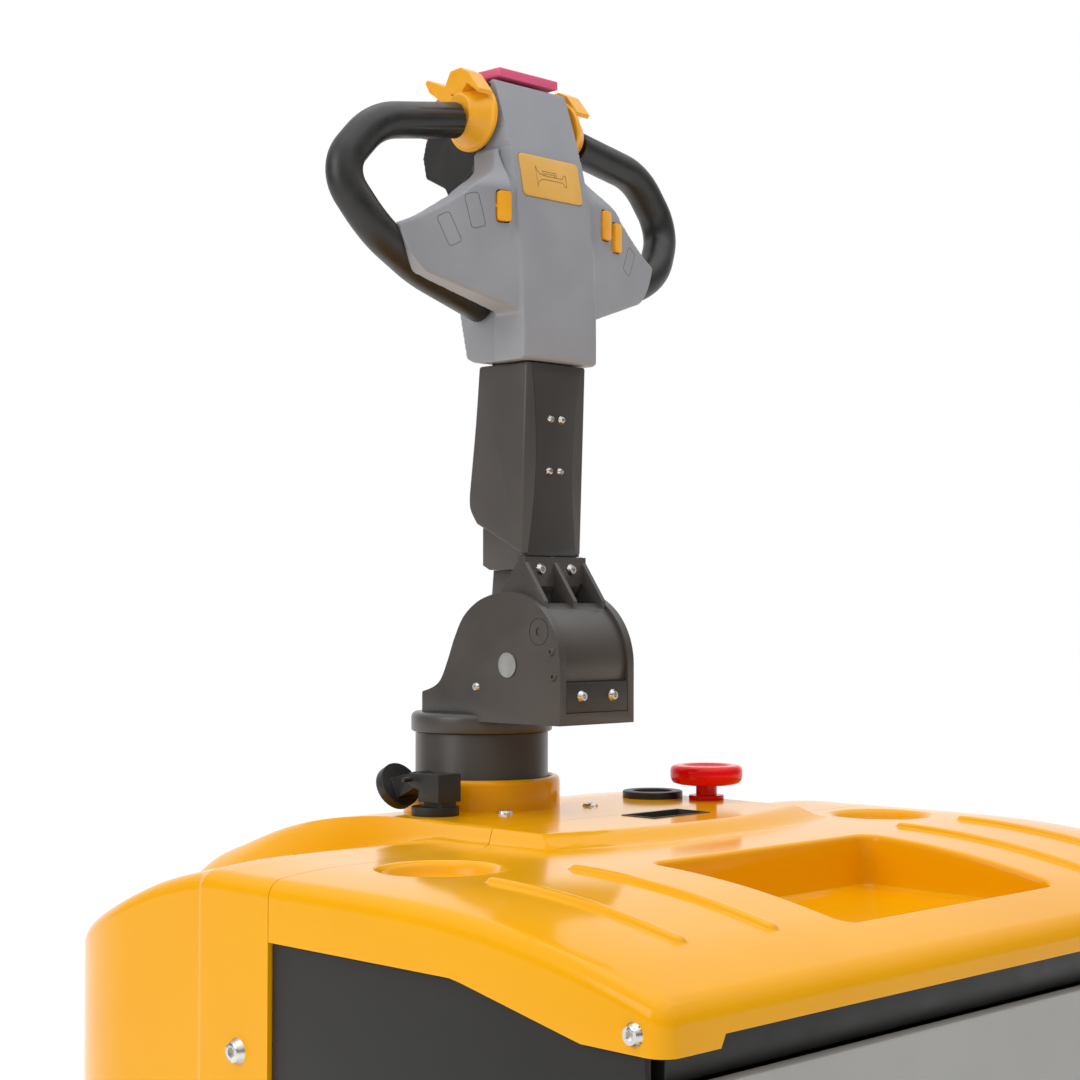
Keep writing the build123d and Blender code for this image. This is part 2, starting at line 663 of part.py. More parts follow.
guard_low = -38.0
guard_high = 62.0
hub_radius_root = 19.0
with BuildPart() as tiller_root:
    with BuildSketch(upright(root_half)):
        with BuildLine():
            outer_low = guard_point(guard_low, guard_radius)
            outer_mid = guard_point((guard_low + guard_high) / 2, guard_radius)
            outer_high = guard_point(guard_high, guard_radius)
            inner_mid = guard_point((guard_low + guard_high) / 2, guard_radius - guard_wall)
            inner_high = guard_point(guard_high, guard_radius - guard_wall)
            inner_low = guard_point(guard_low, guard_radius - guard_wall)
            ThreePointArc(outer_low, outer_mid, outer_high)
            Line(outer_high, inner_high)
            ThreePointArc(inner_high, inner_mid, inner_low)
            Line(inner_low, outer_low)
        make_face()
    extrude(amount=2 * root_half)
    for y0, y1 in ((-root_half, -root_half + 4), (-2, 2), (root_half - 4, root_half)):
        slab([(84, 936), (110, 900), guard_point(52, guard_radius - 1), guard_point(30, guard_radius - 1),
              (pivot_x + 10, pivot_z - 12), (58, pivot_z), (60, 910)], y0, y1)
    slab([(42, 905), (83, 905), (87.6, 912), (87.6, 935.5), (80, 935.5), (80, 925), (44, 925)],
         -28, 28)
    block(80, 87.6, -root_half, root_half, 914, 935.5)
    slab([(48, 915), (56, pivot_z), (92, pivot_z), (82, 915)], -22, 22)
    disc(upright(root_half, pivot_x, pivot_z), hub_radius_root, 2 * root_half)
    disc(upright(root_half + 1, pivot_x, pivot_z), pin_radius + pin_clearance, 2 * root_half + 2,
         mode=Mode.SUBTRACT)
save(tiller_root, "tiller_root")

arm_core_top = 1124.0         # the arm's core runs up inside the head
core_back = 42.0
core_front = 78.0
core_half = 28.0
with BuildPart() as arm_tube:
    slab([(36, 929), (36, 958), (40, 990), (arm_front(990) - 4, 990), (arm_front(936), 936.0), (79.5, 936),
          (79.5, 925.2), (44, 925.2)], -32.6, 32.6)
    slab([(core_back, 925.2), (core_back, arm_core_top), (core_front, arm_core_top), (core_front, 925.2)],
         -core_half, core_half)
    add(tiller_root.part, mode=Mode.SUBTRACT)

insert_back = 5.0
with BuildPart() as arm_insert:
    slab([(arm_front(938) - insert_back, 938), (arm_front(938) + 0.6, 938),
          (arm_front(1090) + 0.6, 1090), (arm_front(1090) - insert_back, 1090)], -30, 30)
    with BuildSketch(across(front_x - 20)):
        with BuildLine():
            right_edge = Spline((28.5, 930), (22.5, 985), (21, 1030), (24, 1065), (27.5, 1095))
            Line(right_edge @ 1, (-27.5, 1095))
            left_edge = Spline((-27.5, 1095), (-24, 1065), (-21, 1030), (-22.5, 985), (-28.5, 930))
            Line(left_edge @ 1, right_edge @ 0)
        make_face()
    extrude(amount=40, mode=Mode.INTERSECT)
save(arm_insert, "arm_insert")

with arm_tube:
    add(arm_insert.part, mode=Mode.SUBTRACT)
save(arm_tube, "arm_tube")

with BuildPart() as arm_cover:
    slab([(29, 963), (83.6, 937), (arm_front(arm_top), arm_top), (32, arm_top - 1), (20, 980)],
         -arm_half, arm_half)
    add(arm_tube.part, mode=Mode.SUBTRACT)
    add(arm_insert.part, mode=Mode.SUBTRACT)
save(arm_cover, "arm_cover")

with BuildPart() as arm_screws:
    for z in (1047, 1005):
        for _, s in sides():
            button_head(facing(arm_front(z) + 0.8, s * 6.3, z, (1, 0, -lean)), 3.4, 2.4)
    for _, s in sides():
        button_head(facing(87.6, s * 17.5, 925.4, (1, 0, 0)), 4.8, 3)
save(arm_screws, "arm_screws")

# ================================================================ tiller head
head_half = 42.0
wing_tip_y = 150.0
wing_tip_x = 61.0
wing_face_x = 89.6            # front of the wings where they leave the head
wing_slope = (wing_face_x - wing_tip_x) / (wing_tip_y - head_half)
wing_wall = 13.0
split_x = 58.0                # the front and rear shells meet here
cap_gap = 3.6                 # shadow gap under the belly button
head_crest = head_top - cap_gap
shaft_clearance = swivel_clearance
lead_bore = throttle_shaft_radius + shaft_clearance


# handle loops: thick rubber tubes from the throttle hubs round to the foot of the head
grip_route = ((41, 69, 1288), (38, 150, 1275), (36, 188, 1232), (50, 160, 1186), (42, 108, 1162.5),
              (40, head_half - 3.7, 1141))
grip_bends = (58.0, 31.0, 56.0, 160.0)
grip_seat = 0.2               # clearance of the tube in the head shells
spigot = 8.0                  # the tube's upper end carries the throttle hub


def grip_solid(s, radius):
    """The handle tube on side s."""
    points = [(steer_x + x, s * y, z) for x, y, z in grip_route]
    with BuildPart() as tube:
        with BuildLine() as route:
            FilletPolyline(*points, radius=list(grip_bends))
        with BuildSketch(Plane(origin=route.line @ 0, z_dir=route.line % 0)):
            Circle(radius)
        sweep()
    return tube.part


for name, s in sides():
    with BuildPart() as grip:
        add(grip_solid(s, grip_radius))
        disc(facing(throttle_x, s * 57, throttle_z, (0, s, 0)), spigot, 17)
    save(grip, f"grip_{name}")


def wing_plane(y, z, out=0.0):
    """Plane on the front of a wing, its normal leaning out to that side."""
    s = 1 if y > 0 else -1
    x = wing_face_x - wing_slope * (abs(y) - head_half)
    face = Plane(origin=(steer_x + x, y, z), x_dir=(-wing_slope * s, 1, 0), z_dir=(1, wing_slope * s, 0))
    return face.offset(out)


head_face = Plane(origin=(steer_x + 81.2, 0, 1244), x_dir=(0, 1, 0), z_dir=(1, 0, 0.197))
horn_width = 68.0
horn_height = 36.0
horn_thick = 5.0
horn_proud = 1.5
button_gap = 0.3
rocker_width = 11.6
rocker_length = 24.0
rocker_depth = 5.0
rocker_proud = 3.0
rocker_pin_radius = 1.8
rocker_pin_depth = 2.0      # the tipping axis under the wing's face
rocker_pin_reach = 1.7      # past the rocker's side, into the wall of its pocket
rocker_sites = (("rocker_left", -57.0, 1213.5), ("rocker_right_inner", 62.0, 1214.0),
                ("rocker_right_outer", 80.0, 1206.5))
belly_half = 33.6
belly_stem_half = 24.0
belly_stem_back = 2.0
belly_stem_front = 40.0
belly_travel = 3.0
horn_travel = 2.0



def rocker_pin(y, z, gap, mode=Mode.ADD):
    """The pin that a rocker tips on, or its hole with a gap all round."""
    face = wing_plane(y, z, -rocker_pin_depth)
    half = rocker_width / 2 + rocker_pin_reach + gap
    start = face.origin - face.x_dir * half
    disc(Plane(origin=start, z_dir=face.x_dir), rocker_pin_radius + gap, 2 * half, mode)


with BuildPart() as head_front:
    with BuildSketch(upright(head_half)):
        with BuildLine():
            face_line = Spline((94, 1095), (93.4, 1140), (89.6, 1189), (82.3, 1242), (73, 1279),
                               (57.6, head_crest))
            Polyline(face_line @ 1, (split_x - 4, head_crest), (split_x, head_crest - 6),
                     (split_x, head_bottom), (90, head_bottom), face_line @ 0)
        make_face()
    extrude(amount=2 * head_half)
    for _, s in sides():
        with BuildSketch(across(30)) as wing_view:
            with BuildLine():
                Polyline((s * 30, 1128), (s * 41, 1131), (s * 90, 1146), (s * 135, 1160), (s * 147, 1170),
                         (s * wing_tip_y, 1184), (s * 146, 1191), (s * 125, 1200), (s * 90, 1222),
                         (s * 67, 1245), (s * 60, 1263), (s * 50, 1266), (s * 30, 1266), close=True)
            make_face()
        with BuildPart(mode=Mode.PRIVATE) as wing:
            extrude(wing_view.sketch, amount=70)
            with BuildSketch(level(1120)) as wing_plan:
                with BuildLine():
                    Polyline((wing_face_x + 1, 0), (wing_face_x, s * head_half),
                             (wing_tip_x, s * wing_tip_y), (wing_tip_x - wing_wall, s * wing_tip_y),
                             (wing_face_x - wing_wall - 14, s * head_half), (wing_face_x - 20, 0), close=True)
                make_face()
            extrude(wing_plan.sketch, amount=160, mode=Mode.INTERSECT)
        add(wing.part)
    block(20, split_x + 10, -30, 30, arm_core_top, 1290, Mode.SUBTRACT)
    block(core_back, core_front, -core_half, core_half, head_bottom - 1, arm_core_top, Mode.SUBTRACT)
    for _, s in sides():
        add(grip_solid(s, grip_radius + grip_seat), mode=Mode.SUBTRACT)
    with BuildSketch(head_face.offset(horn_proud - horn_thick - horn_travel - 1)) as horn_pocket:
        Rectangle(horn_width + 2 * button_gap, horn_height + 2 * button_gap)
    extrude(horn_pocket.sketch, amount=40, mode=Mode.SUBTRACT)
    for _, y, z in rocker_sites:
        with BuildSketch(wing_plane(y, z, -rocker_depth - 2.4)) as rocker_pocket:
            Rectangle(rocker_width + 2 * button_gap, rocker_length + 3)
        extrude(rocker_pocket.sketch, amount=20, mode=Mode.SUBTRACT)
        rocker_pin(y, z, button_gap, Mode.SUBTRACT)
save(head_front, "head_front")

with BuildPart() as head_rear:
    with BuildSketch(upright(38)):
        with BuildLine():
            Polyline((split_x, head_bottom), (30, head_bottom + 2), (22, 1099), (18, 1117), (13, 1139),
                     (7, 1190), (-2, 1225), (-14, 1246), (-38, 1258), (-42, 1276), (-38, 1290), (-22, 1309),
                     (6, head_crest - 3), (30, head_crest), (split_x - 4.0, head_crest),
                     (split_x, head_crest - 6), close=True)
        make_face()
    extrude(amount=76)
    for s in (-1, 1):
        # the sides behind the throttle hubs are cut back
        slab([(-60, 1400), (-60, 1235), (2, 1235), (36, 1262), (36, 1400)],
             *mirrored_y(s, 30, 60), mode=Mode.SUBTRACT)
    slab([(split_x + 1, 1106), (34, 1106), (26, 1140), (20, 1200), (4, 1240), (-14, 1262), (-22, 1284),
          (0, 1296), (split_x + 1, 1296)], -27, 27, Mode.SUBTRACT)
    block(core_back, core_front, -core_half, core_half, head_bottom - 1, arm_core_top, Mode.SUBTRACT)
    for _, s in sides():
        add(grip_solid(s, grip_radius + grip_seat), mode=Mode.SUBTRACT)
    block(belly_stem_back - button_gap, belly_stem_front + button_gap, -belly_stem_half - button_gap,
          belly_stem_half + button_gap, head_crest - 11 - belly_travel, head_top, Mode.SUBTRACT)
    disc(upright(60, throttle_x, throttle_z), lead_bore, 120, mode=Mode.SUBTRACT)
save(head_rear, "head_rear")

with BuildPart() as belly_button:
    slab([(57, head_top), (57, head_top + 7.5), (28, head_top + 8), (-4, head_top + 3), (-27, head_top - 9),
          (-45.6, 1297), (-42, 1292.6), (-24, 1315.5), (4, head_crest + 1), (28, head_top)],
         -belly_half, belly_half)
    block(belly_stem_back, belly_stem_front, -belly_stem_half, belly_stem_half, head_crest - 10, head_top)
save(belly_button, "belly_button")

with BuildPart() as horn_button:
    with BuildSketch(head_face.offset(horn_proud - horn_thick)):
        RectangleRounded(horn_width, horn_height, 4)
    extrude(amount=horn_thick)
save(horn_button, "horn_button")

for name, y, z in rocker_sites:
    with BuildPart() as rocker:
        with BuildSketch(wing_plane(y, z, -rocker_depth)):
            RectangleRounded(rocker_width, rocker_length, 2.5)
        extrude(amount=rocker_depth + rocker_proud)
        rocker_pin(y, z, 0)
    save(rocker, name)

# ---------------------------------------------------------------- throttle
hub_disc_radius = 28.0
hub_face_y = head_half + 4
hub_back_y = hub_face_y + 4
hub_outer_y = 66.0
with BuildPart() as throttle_shaft:
    disc(upright(hub_face_y, throttle_x, throttle_z), throttle_shaft_radius, 2 * hub_face_y)
    slab([(throttle_x - 3, throttle_z - 2), (throttle_x + 3, throttle_z - 2), (throttle_x + 2, throttle_z - 18),
          (throttle_x - 2, throttle_z - 18)], -6, 6)
save(throttle_shaft, "throttle_shaft")

for name, s in sides():
    with BuildPart() as throttle:
        centre = facing(throttle_x, s * hub_face_y, throttle_z, (0, s, 0))
        disc(centre, hub_disc_radius, hub_back_y - hub_face_y)
        with BuildSketch(centre.offset(hub_back_y - hub_face_y)):
            Circle(hub_disc_radius - 3)
        with BuildSketch(centre.offset(hub_outer_y - hub_face_y)):
            Circle(grip_radius + 1.5)
        loft()
        y0, y1 = mirrored_y(s, hub_back_y - 1, hub_outer_y - 2)
        slab([(26, 1312), (24, 1321), (30, 1331), (42, 1332), (52, 1327), (65, 1311), (63, 1308), (50, 1318),
              (44, 1312)], y0, y1)
        slab([(34, 1304), (28, 1318), (14, 1324), (2, 1329), (-1, 1327), (4, 1318), (17, 1309), (20, 1300)],
             y0, y1)
        disc(centre.offset(10), spigot + swivel_clearance, 20, mode=Mode.SUBTRACT)
    save(throttle, f"throttle_{name}")

# ================================================================ stabiliser casters
caster_wheel_x = caster_x - caster_trail
caster_side = caster_width / 2 + 2
caster_axle = 6.0
cup_top = deck_z - 0.4
for name, s in sides():
    y = s * caster_y
    with BuildPart() as caster_yoke:
        disc(level(124, caster_x, y), 30, cup_top - 124)
        disc(level(cup_top, caster_x, y), stem_radius, deck_thickness + 1.2)
        disc(level(deck_plate_top + 0.8, caster_x, y), 20, 10)
        block(caster_wheel_x - 22, caster_x + 26, y - caster_side - 6, y + caster_side + 6, 112, 124)
        for y0, y1 in ((y - caster_side - 6, y - caster_side), (y + caster_side, y + caster_side + 6)):
            slab([(caster_wheel_x - 16, caster_radius - 14), (caster_wheel_x + 16, caster_radius - 14),
                  (caster_x + 22, 112), (caster_wheel_x - 22, 112)], y0, y1)
        disc(upright(y + caster_side + 8, caster_wheel_x, caster_radius), caster_axle, 2 * caster_side + 16)
    save(caster_yoke, f"caster_yoke_{name}")
    with BuildPart() as caster_wheel:
        disc(upright(y + caster_width / 2, caster_wheel_x, caster_radius), caster_radius, caster_width,
             inner=caster_axle + swivel_clearance)
        chamfer(caster_wheel.edges().filter_by(GeomType.CIRCLE).sort_by(lambda e: e.radius)[-2:], 4)
        for face_y in (y + caster_width / 2, y - caster_width / 2 + 4):
            disc(upright(face_y, caster_wheel_x, caster_radius), 32, 4, Mode.SUBTRACT, inner=14)
    save(caster_wheel, f"caster_wheel_{name}")

# how far the load arms swing while the forks lift, and where the push rods run
fork_pivot_x = tip_x - arm_pivot_from_tip
arm_rise = asin((arm_pivot_z - load_radius) / arm_length)
roller_x = fork_pivot_x - arm_length * cos(arm_rise)
arm_lift = asin((arm_pivot_z + lift_height - load_radius) / arm_length) - arm_rise
lug_x = fork_pivot_x - lug_radius * sin(arm_lift / 2)
lug_z = arm_pivot_z - lug_radius * cos(arm_lift / 2)
rod_y = fork_y - 56.0          # beside the roller, towards the middle of the truck

# ================================================================ lift
cylinder_x = rail_x + rail_gap / 2
barrel_radius = 20.0
ram_radius = 14.0
barrel_top = 300.0
ram_top = 318.0
with BuildPart() as lift_cylinder:
    disc(level(cross_top, cylinder_x), barrel_radius, barrel_top - cross_top)
    disc(level(cross_top + 14, cylinder_x), ram_radius + swivel_clearance, barrel_top, mode=Mode.SUBTRACT)
save(lift_cylinder, "lift_cylinder")

with BuildPart() as lift_ram:
    disc(level(cross_top + 20, cylinder_x), ram_radius, ram_top - cross_top - 20)
save(lift_ram, "lift_ram")

# ================================================================ fork frame
fork_bottom = fork_top - fork_depth
fin_y = rail_y - rail_lip - 16
fin_plate = 8.0
fin_top = 345.0
well_front = tip_x - 112
pad_gap = 0.3
backrest_top = 420.0
with BuildPart() as fork_frame:
    block(heel_x, heel_x + plate + 2, -fork_spread / 2, fork_spread / 2, fork_bottom, backrest_top)
    for _, s in sides():
        # lift carriage behind the front plate: a fin each side, running between the rails
        y0, y1 = mirrored_y(s, fin_y, fin_y + fin_plate)
        slab([(rail_x + 3, 92), (heel_x + 1, 92), (heel_x + 1, 200), (front_plate_x - 4, 204),
              (front_plate_x - 4, fin_top), (rail_x + 3, fin_top)], y0, y1)
        # fork: a channel, open below, with a ramped and rounded tip
        with BuildSketch(level(fork_bottom)):
            with BuildLine():
                inner, outer = s * fork_y - fork_width / 2, s * fork_y + fork_width / 2
                Polyline((tip_x - 90, outer), (heel_x, outer), (heel_x, inner), (tip_x - 90, inner))
                EllipticalCenterArc((tip_x - 90, s * fork_y), 90, fork_width / 2, start_angle=-90, arc_size=180)
            make_face()
        extrude(amount=fork_depth)
        slab([(tip_x - 104, fork_top), (tip_x, fork_top - 24), (tip_x + 1, fork_top + 1)],
             inner, outer, Mode.SUBTRACT)
        slab([(tip_x - 50, fork_bottom), (tip_x, fork_top - 40), (tip_x + 1, fork_bottom - 1)],
             inner, outer, Mode.SUBTRACT)
        block(heel_x + plate + 2, well_front, inner + fork_wall, outer - fork_wall,
              fork_bottom - 1, fork_top - fork_wall, Mode.SUBTRACT)
        disc(upright(outer - 1, fork_pivot_x, arm_pivot_z), axle_radius, fork_width - 2)
        # guide block for the push rod, near the heel
        for x in (heel_x + 60, heel_x + fork_length / 2):
            block(x, x + 16, inner + fork_wall, outer - fork_wall, lug_z - 5, fork_top - fork_wall)
            disc(across(x - 1, lug_z, s * rod_y), rod_radius + swivel_clearance, 18, mode=Mode.SUBTRACT)
    block(rail_x + 4, front_plate_x - 6, -fin_y, fin_y, ram_top, ram_top + 16)
save(fork_frame, "fork_frame")

with BuildPart() as guide_pads:
    for _, s in sides():
        for z0, z1 in ((100, 170), (260, 330)):
            block(rail_x + pad_gap, rail_x + rail_gap - pad_gap,
                  *mirrored_y(s, fin_y + fin_plate, rail_y - pad_gap), z0, z1)
save(guide_pads, "guide_pads")

# ================================================================ load arms, rollers and push rods
cheek_y = load_width / 2 + 2
arm_cheek = 8.0
eye_half = 4.0
eye_radius = 11.0
rod_end_clearance = 1.3
eye_pin = 5.0
for name, s in sides():
    y = s * fork_y
    with BuildPart() as load_arm:
        for y0, y1 in ((y - cheek_y - arm_cheek, y - cheek_y), (y + cheek_y, y + cheek_y + arm_cheek)):
            slab([(roller_x - 16, load_radius - 8), (roller_x - 10, load_radius - 16),
                  (fork_pivot_x, arm_pivot_z - 17), (fork_pivot_x + 15, arm_pivot_z - 6),
                  (fork_pivot_x + 15, arm_pivot_z + 8), (fork_pivot_x, arm_pivot_z + 16),
                  (roller_x - 10, load_radius + 16), (roller_x - 16, load_radius + 8)], y0, y1)
        block(roller_x + load_radius + 14, roller_x + load_radius + 60, y - cheek_y, y + cheek_y, 44, 56)
        disc(upright(y + cheek_y + arm_cheek, roller_x, load_radius), axle_radius, 2 * (cheek_y + arm_cheek))
        disc(upright(y + cheek_y, fork_pivot_x, arm_pivot_z), axle_radius + 7, 2 * cheek_y)
        # lug below the pivot, with the pin that the push rod drives
        face_y = s * (fork_y - cheek_y - arm_cheek)
        slab([(fork_pivot_x - 14, arm_pivot_z - 10), (fork_pivot_x + 14, arm_pivot_z - 10),
              (lug_x + 7, lug_z - 2), (lug_x + 3, lug_z - 7), (lug_x - 3, lug_z - 7), (lug_x - 7, lug_z - 2)],
             *mirrored_y(s, abs(face_y), abs(face_y) + arm_cheek))
        disc(facing(lug_x, face_y, lug_z, (0, -s, 0)), eye_pin, 17)
        disc(upright(y + fork_width, fork_pivot_x, arm_pivot_z), axle_radius + swivel_clearance,
             2 * fork_width, mode=Mode.SUBTRACT)
    save(load_arm, f"load_arm_{name}")
    with BuildPart() as load_roller:
        disc(upright(y + load_width / 2, roller_x, load_radius), load_radius, load_width,
             inner=axle_radius + swivel_clearance)
        chamfer(load_roller.edges().filter_by(GeomType.CIRCLE).sort_by(lambda e: e.radius)[-2:], 3)
    save(load_roller, f"load_roller_{name}")

with BuildPart() as push_rods:
    for _, s in sides():
        y = s * rod_y
        disc(across(heel_x + 14, lug_z, y), rod_radius, lug_x - 16 - heel_x - 14)
        disc(upright(y + eye_half, lug_x, lug_z), eye_radius, 2 * eye_half)
        block(lug_x - 24, lug_x - 7, y - eye_half, y + eye_half, lug_z - 5, lug_z + 5)
        disc(upright(y + 20, lug_x, lug_z), eye_pin + rod_end_clearance, 40, mode=Mode.SUBTRACT)
save(push_rods, "push_rods")
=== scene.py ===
import json
import math

import bmesh
import bpy
from mathutils import Matrix, Vector

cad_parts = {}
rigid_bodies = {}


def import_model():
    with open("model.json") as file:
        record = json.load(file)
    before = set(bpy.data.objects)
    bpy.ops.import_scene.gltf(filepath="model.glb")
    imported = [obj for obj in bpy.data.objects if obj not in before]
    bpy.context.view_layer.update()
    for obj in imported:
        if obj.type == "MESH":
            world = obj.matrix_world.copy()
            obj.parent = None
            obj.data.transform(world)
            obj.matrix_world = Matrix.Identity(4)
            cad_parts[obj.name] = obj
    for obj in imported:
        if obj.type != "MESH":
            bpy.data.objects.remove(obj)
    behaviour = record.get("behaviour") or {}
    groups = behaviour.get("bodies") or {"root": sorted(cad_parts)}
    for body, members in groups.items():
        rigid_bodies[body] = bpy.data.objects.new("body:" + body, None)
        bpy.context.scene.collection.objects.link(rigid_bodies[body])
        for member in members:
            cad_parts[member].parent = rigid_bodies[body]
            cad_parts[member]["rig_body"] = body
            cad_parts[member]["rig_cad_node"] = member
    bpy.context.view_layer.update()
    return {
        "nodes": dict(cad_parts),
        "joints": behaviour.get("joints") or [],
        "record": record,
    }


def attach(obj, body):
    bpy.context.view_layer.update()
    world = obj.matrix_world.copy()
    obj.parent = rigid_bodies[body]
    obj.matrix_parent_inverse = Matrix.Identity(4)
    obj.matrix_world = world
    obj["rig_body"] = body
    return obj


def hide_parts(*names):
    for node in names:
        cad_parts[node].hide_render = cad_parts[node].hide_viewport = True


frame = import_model()
MM = 0.001

# ---------------------------------------------------------------- places read from the frame
joints = {joint["name"]: joint for joint in frame["joints"]}
steer = Vector(joints["steer_turn"]["pos_m"]).x            # the steering axis, along X


def at(forward, side, height):
    """A point from millimetres forward of the steering axis, to the side, and above the floor."""
    return Vector((steer + forward * MM, side * MM, height * MM))


# ---------------------------------------------------------------- node helpers for materials
def linear(code):
    """An sRGB hex colour as linear RGBA."""
    values = [int(code[i:i + 2], 16) / 255 for i in (1, 3, 5)]
    return tuple(v / 12.92 if v <= 0.04045 else ((v + 0.055) / 1.055) ** 2.4 for v in values) + (1.0,)


def add_node(material, kind, settings=None, links=None):
    """Adds one node with its settings, and links its inputs from (node, output) pairs."""
    node = material.node_tree.nodes.new(kind)
    for key, value in (settings or {}).items():
        if key in node.inputs:
            node.inputs[key].default_value = value
        else:
            setattr(node, key, value)
    for key, (source, output) in (links or {}).items():
        material.node_tree.links.new(source.outputs[output], node.inputs[key])
    return node


def ramp_stops(node, stops):
    """Sets a colour ramp's stops from (position, colour) pairs."""
    elements = node.color_ramp.elements
    while len(elements) < len(stops):
        elements.new(1.0)
    for element, (position, colour) in zip(elements, stops):
        element.position = position
        element.color = colour


def surface(name, light, dark, roughness, grain, relief, patch=90.0, spread=0.06, metallic=0.0, ior=1.5):
    """A moulded, painted or machined finish.

    light and dark are the two ends of the slow colour drift, grain is the size in mm of the fine surface
    texture and relief its height in mm, patch the size in mm of the drift, and spread the swing of the
    roughness about its middle value.
    """
    material = bpy.data.materials.new(name)
    material.use_nodes = True
    shader = material.node_tree.nodes["Principled BSDF"]
    place = add_node(material, "ShaderNodeTexCoord")
    drift = add_node(material, "ShaderNodeTexNoise",
                     {"Scale": 1000 / patch, "Detail": 4.0, "Roughness": 0.55}, {"Vector": (place, "Object")})
    tint = add_node(material, "ShaderNodeValToRGB", {}, {"Fac": (drift, "Fac")})
    ramp_stops(tint, [(0.32, linear(dark)), (0.68, linear(light))])
    fine = add_node(material, "ShaderNodeTexNoise",
                    {"Scale": 1000 / grain, "Detail": 2.0, "Roughness": 0.5}, {"Vector": (place, "Object")})
    rough = add_node(material, "ShaderNodeMapRange",
                     {"From Min": 0.3, "From Max": 0.7, "To Min": roughness - spread,
                      "To Max": roughness + spread}, {"Value": (drift, "Fac")})
    bump = add_node(material, "ShaderNodeBump", {"Strength": 0.6, "Distance": relief * MM},
                    {"Height": (fine, "Fac")})
    link = material.node_tree.links.new
    link(tint.outputs["Color"], shader.inputs["Base Color"])
    link(rough.outputs["Result"], shader.inputs["Roughness"])
    link(bump.outputs["Normal"], shader.inputs["Normal"])
    shader.inputs["Metallic"].default_value = metallic
    if not metallic:
        shader.inputs["IOR"].default_value = ior
    return material


finishes = {
    # gel-coated polyester covers: deep amber with a slightly rippled gloss
    "cover_yellow": surface("gelcoat_amber", "#EFAA04", "#EAA202", 0.14, 9.0, 0.02, 260, 0.02,
                            ior=1.3),
    # powder-coated steel: satin, with the fine peel of baked powder
    "panel_dark": surface("powder_coat_graphite", "#2B2A29", "#262524", 0.46, 1.6, 0.03, 140, ior=1.35),
    # the same powder in light grey, on the front plate
    "plate_grey": surface("powder_coat_grey", "#A9A8A5", "#A19F9C", 0.42, 1.6, 0.03, 160),
    # thicker black powder over the welded chassis and forks
    "chassis_dark": surface("powder_coat_black", "#2E2D2C", "#272625", 0.5, 2.0, 0.05, 120),
    # die-cast and steel column parts, baked in a warm dark grey
    "column_dark": surface("baked_enamel_umber", "#4A4644", "#43403D", 0.33, 1.1, 0.03, 70),
    # the tiller head's shells: fine spark-eroded texture on grey ABS
    "head_grey": surface("moulded_abs_grey", "#94969B", "#8B8D93", 0.48, 0.7, 0.035, 60),
    # handle rubber, polished in patches by hands
    "grip_rubber": surface("nitrile_rubber", "#201F1E", "#161514", 0.40, 2.2, 0.10, 16, 0.08),
    # throttle hubs and rockers in satin acetal
    "control_yellow": surface("moulded_pom_yellow", "#F2AC1C", "#E89E12", 0.34, 0.8, 0.02, 30),
    # the safety reverse button, in pigmented polycarbonate
    "belly_pink": surface("moulded_pc_pink", "#E25F88", "#D8547D", 0.34, 0.9, 0.02, 40),
    # the horn button, a softer amber than the switches
    "horn_amber": surface("moulded_abs_amber", "#E0AE56", "#D8A44A", 0.45, 0.7, 0.03, 40),
    # glass-filled nylon of the socket, bezels and inner shells
    "black_plastic": surface("moulded_nylon_black", "#242321", "#1B1A19", 0.42, 0.8, 0.03, 30),
    # the emergency stop, smooth and bright
    "stop_red": surface("moulded_pc_red", "#F00408", "#DE0206", 0.12, 3.0, 0.01, 40, 0.03, ior=1.35),
    # button-head screws in stainless steel
    "screw_steel": surface("stainless_steel", "#D8D6D2", "#C6C4C0", 0.24, 0.6, 0.01, 12, metallic=1.0),
    # ground pins and shafts
    "pin_steel": surface("ground_steel", "#B9B8B5", "#A8A7A4", 0.33, 0.5, 0.01, 14, metallic=1.0),
    # the drive tyre, dull and slightly dusty
    "drive_rubber": surface("tyre_rubber", "#2B2A29", "#222120", 0.7, 3.0, 0.15, 60),
    # brown polyurethane on the casters and the load rollers
    "wheel_poly": surface("polyurethane_tread", "#6B4A2A", "#5E4024", 0.4, 2.5, 0.05, 50),
    # painted cast iron, with a sandy skin
    "hub_iron": surface("cast_iron_painted", "#4A4947", "#403F3D", 0.6, 2.2, 0.25, 60),
    # the battery's polypropylene case
    "battery_case": surface("moulded_pp_black", "#2B2B2D", "#232325", 0.55, 1.2, 0.05, 100),
    # the controller's cast and finned housing
    "finned_alloy": surface("cast_aluminium", "#BFC0C1", "#ADAEB0", 0.45, 1.2, 0.05, 40, metallic=1.0),
    # machine enamel on the pump unit and the motor
    "pump_paint": surface("machine_enamel_black", "#303031", "#28282A", 0.4, 1.5, 0.05, 60),
    # the ram's hard chrome
    "ram_chrome": surface("hard_chrome", "#DCDDDE", "#D2D3D5", 0.1, 3.0, 0.005, 60, 0.02, metallic=1.0),
    # natural nylon of the mast's slide pads
    "slide_nylon": surface("cast_nylon", "#E2DDCB", "#D8D2BE", 0.5, 1.5, 0.05, 40),
}


def clear_glass():
    """Polished glass over the gauge and the display."""
    material = surface("float_glass", "#D9E2E4", "#D0DADC", 0.06, 5.0, 0.002, 60, 0.02)
    shader = material.node_tree.nodes["Principled BSDF"]
    shader.inputs["Transmission Weight"].default_value = 0.9
    shader.inputs["IOR"].default_value = 1.5
    return material


finishes["clear_glass"] = clear_glass()
slots = {row["node"]: row["material_slot"] for row in frame["record"]["subparts"]}
body_of = {node: body for body, nodes in frame["record"]["behaviour"]["bodies"].items() for node in nodes}


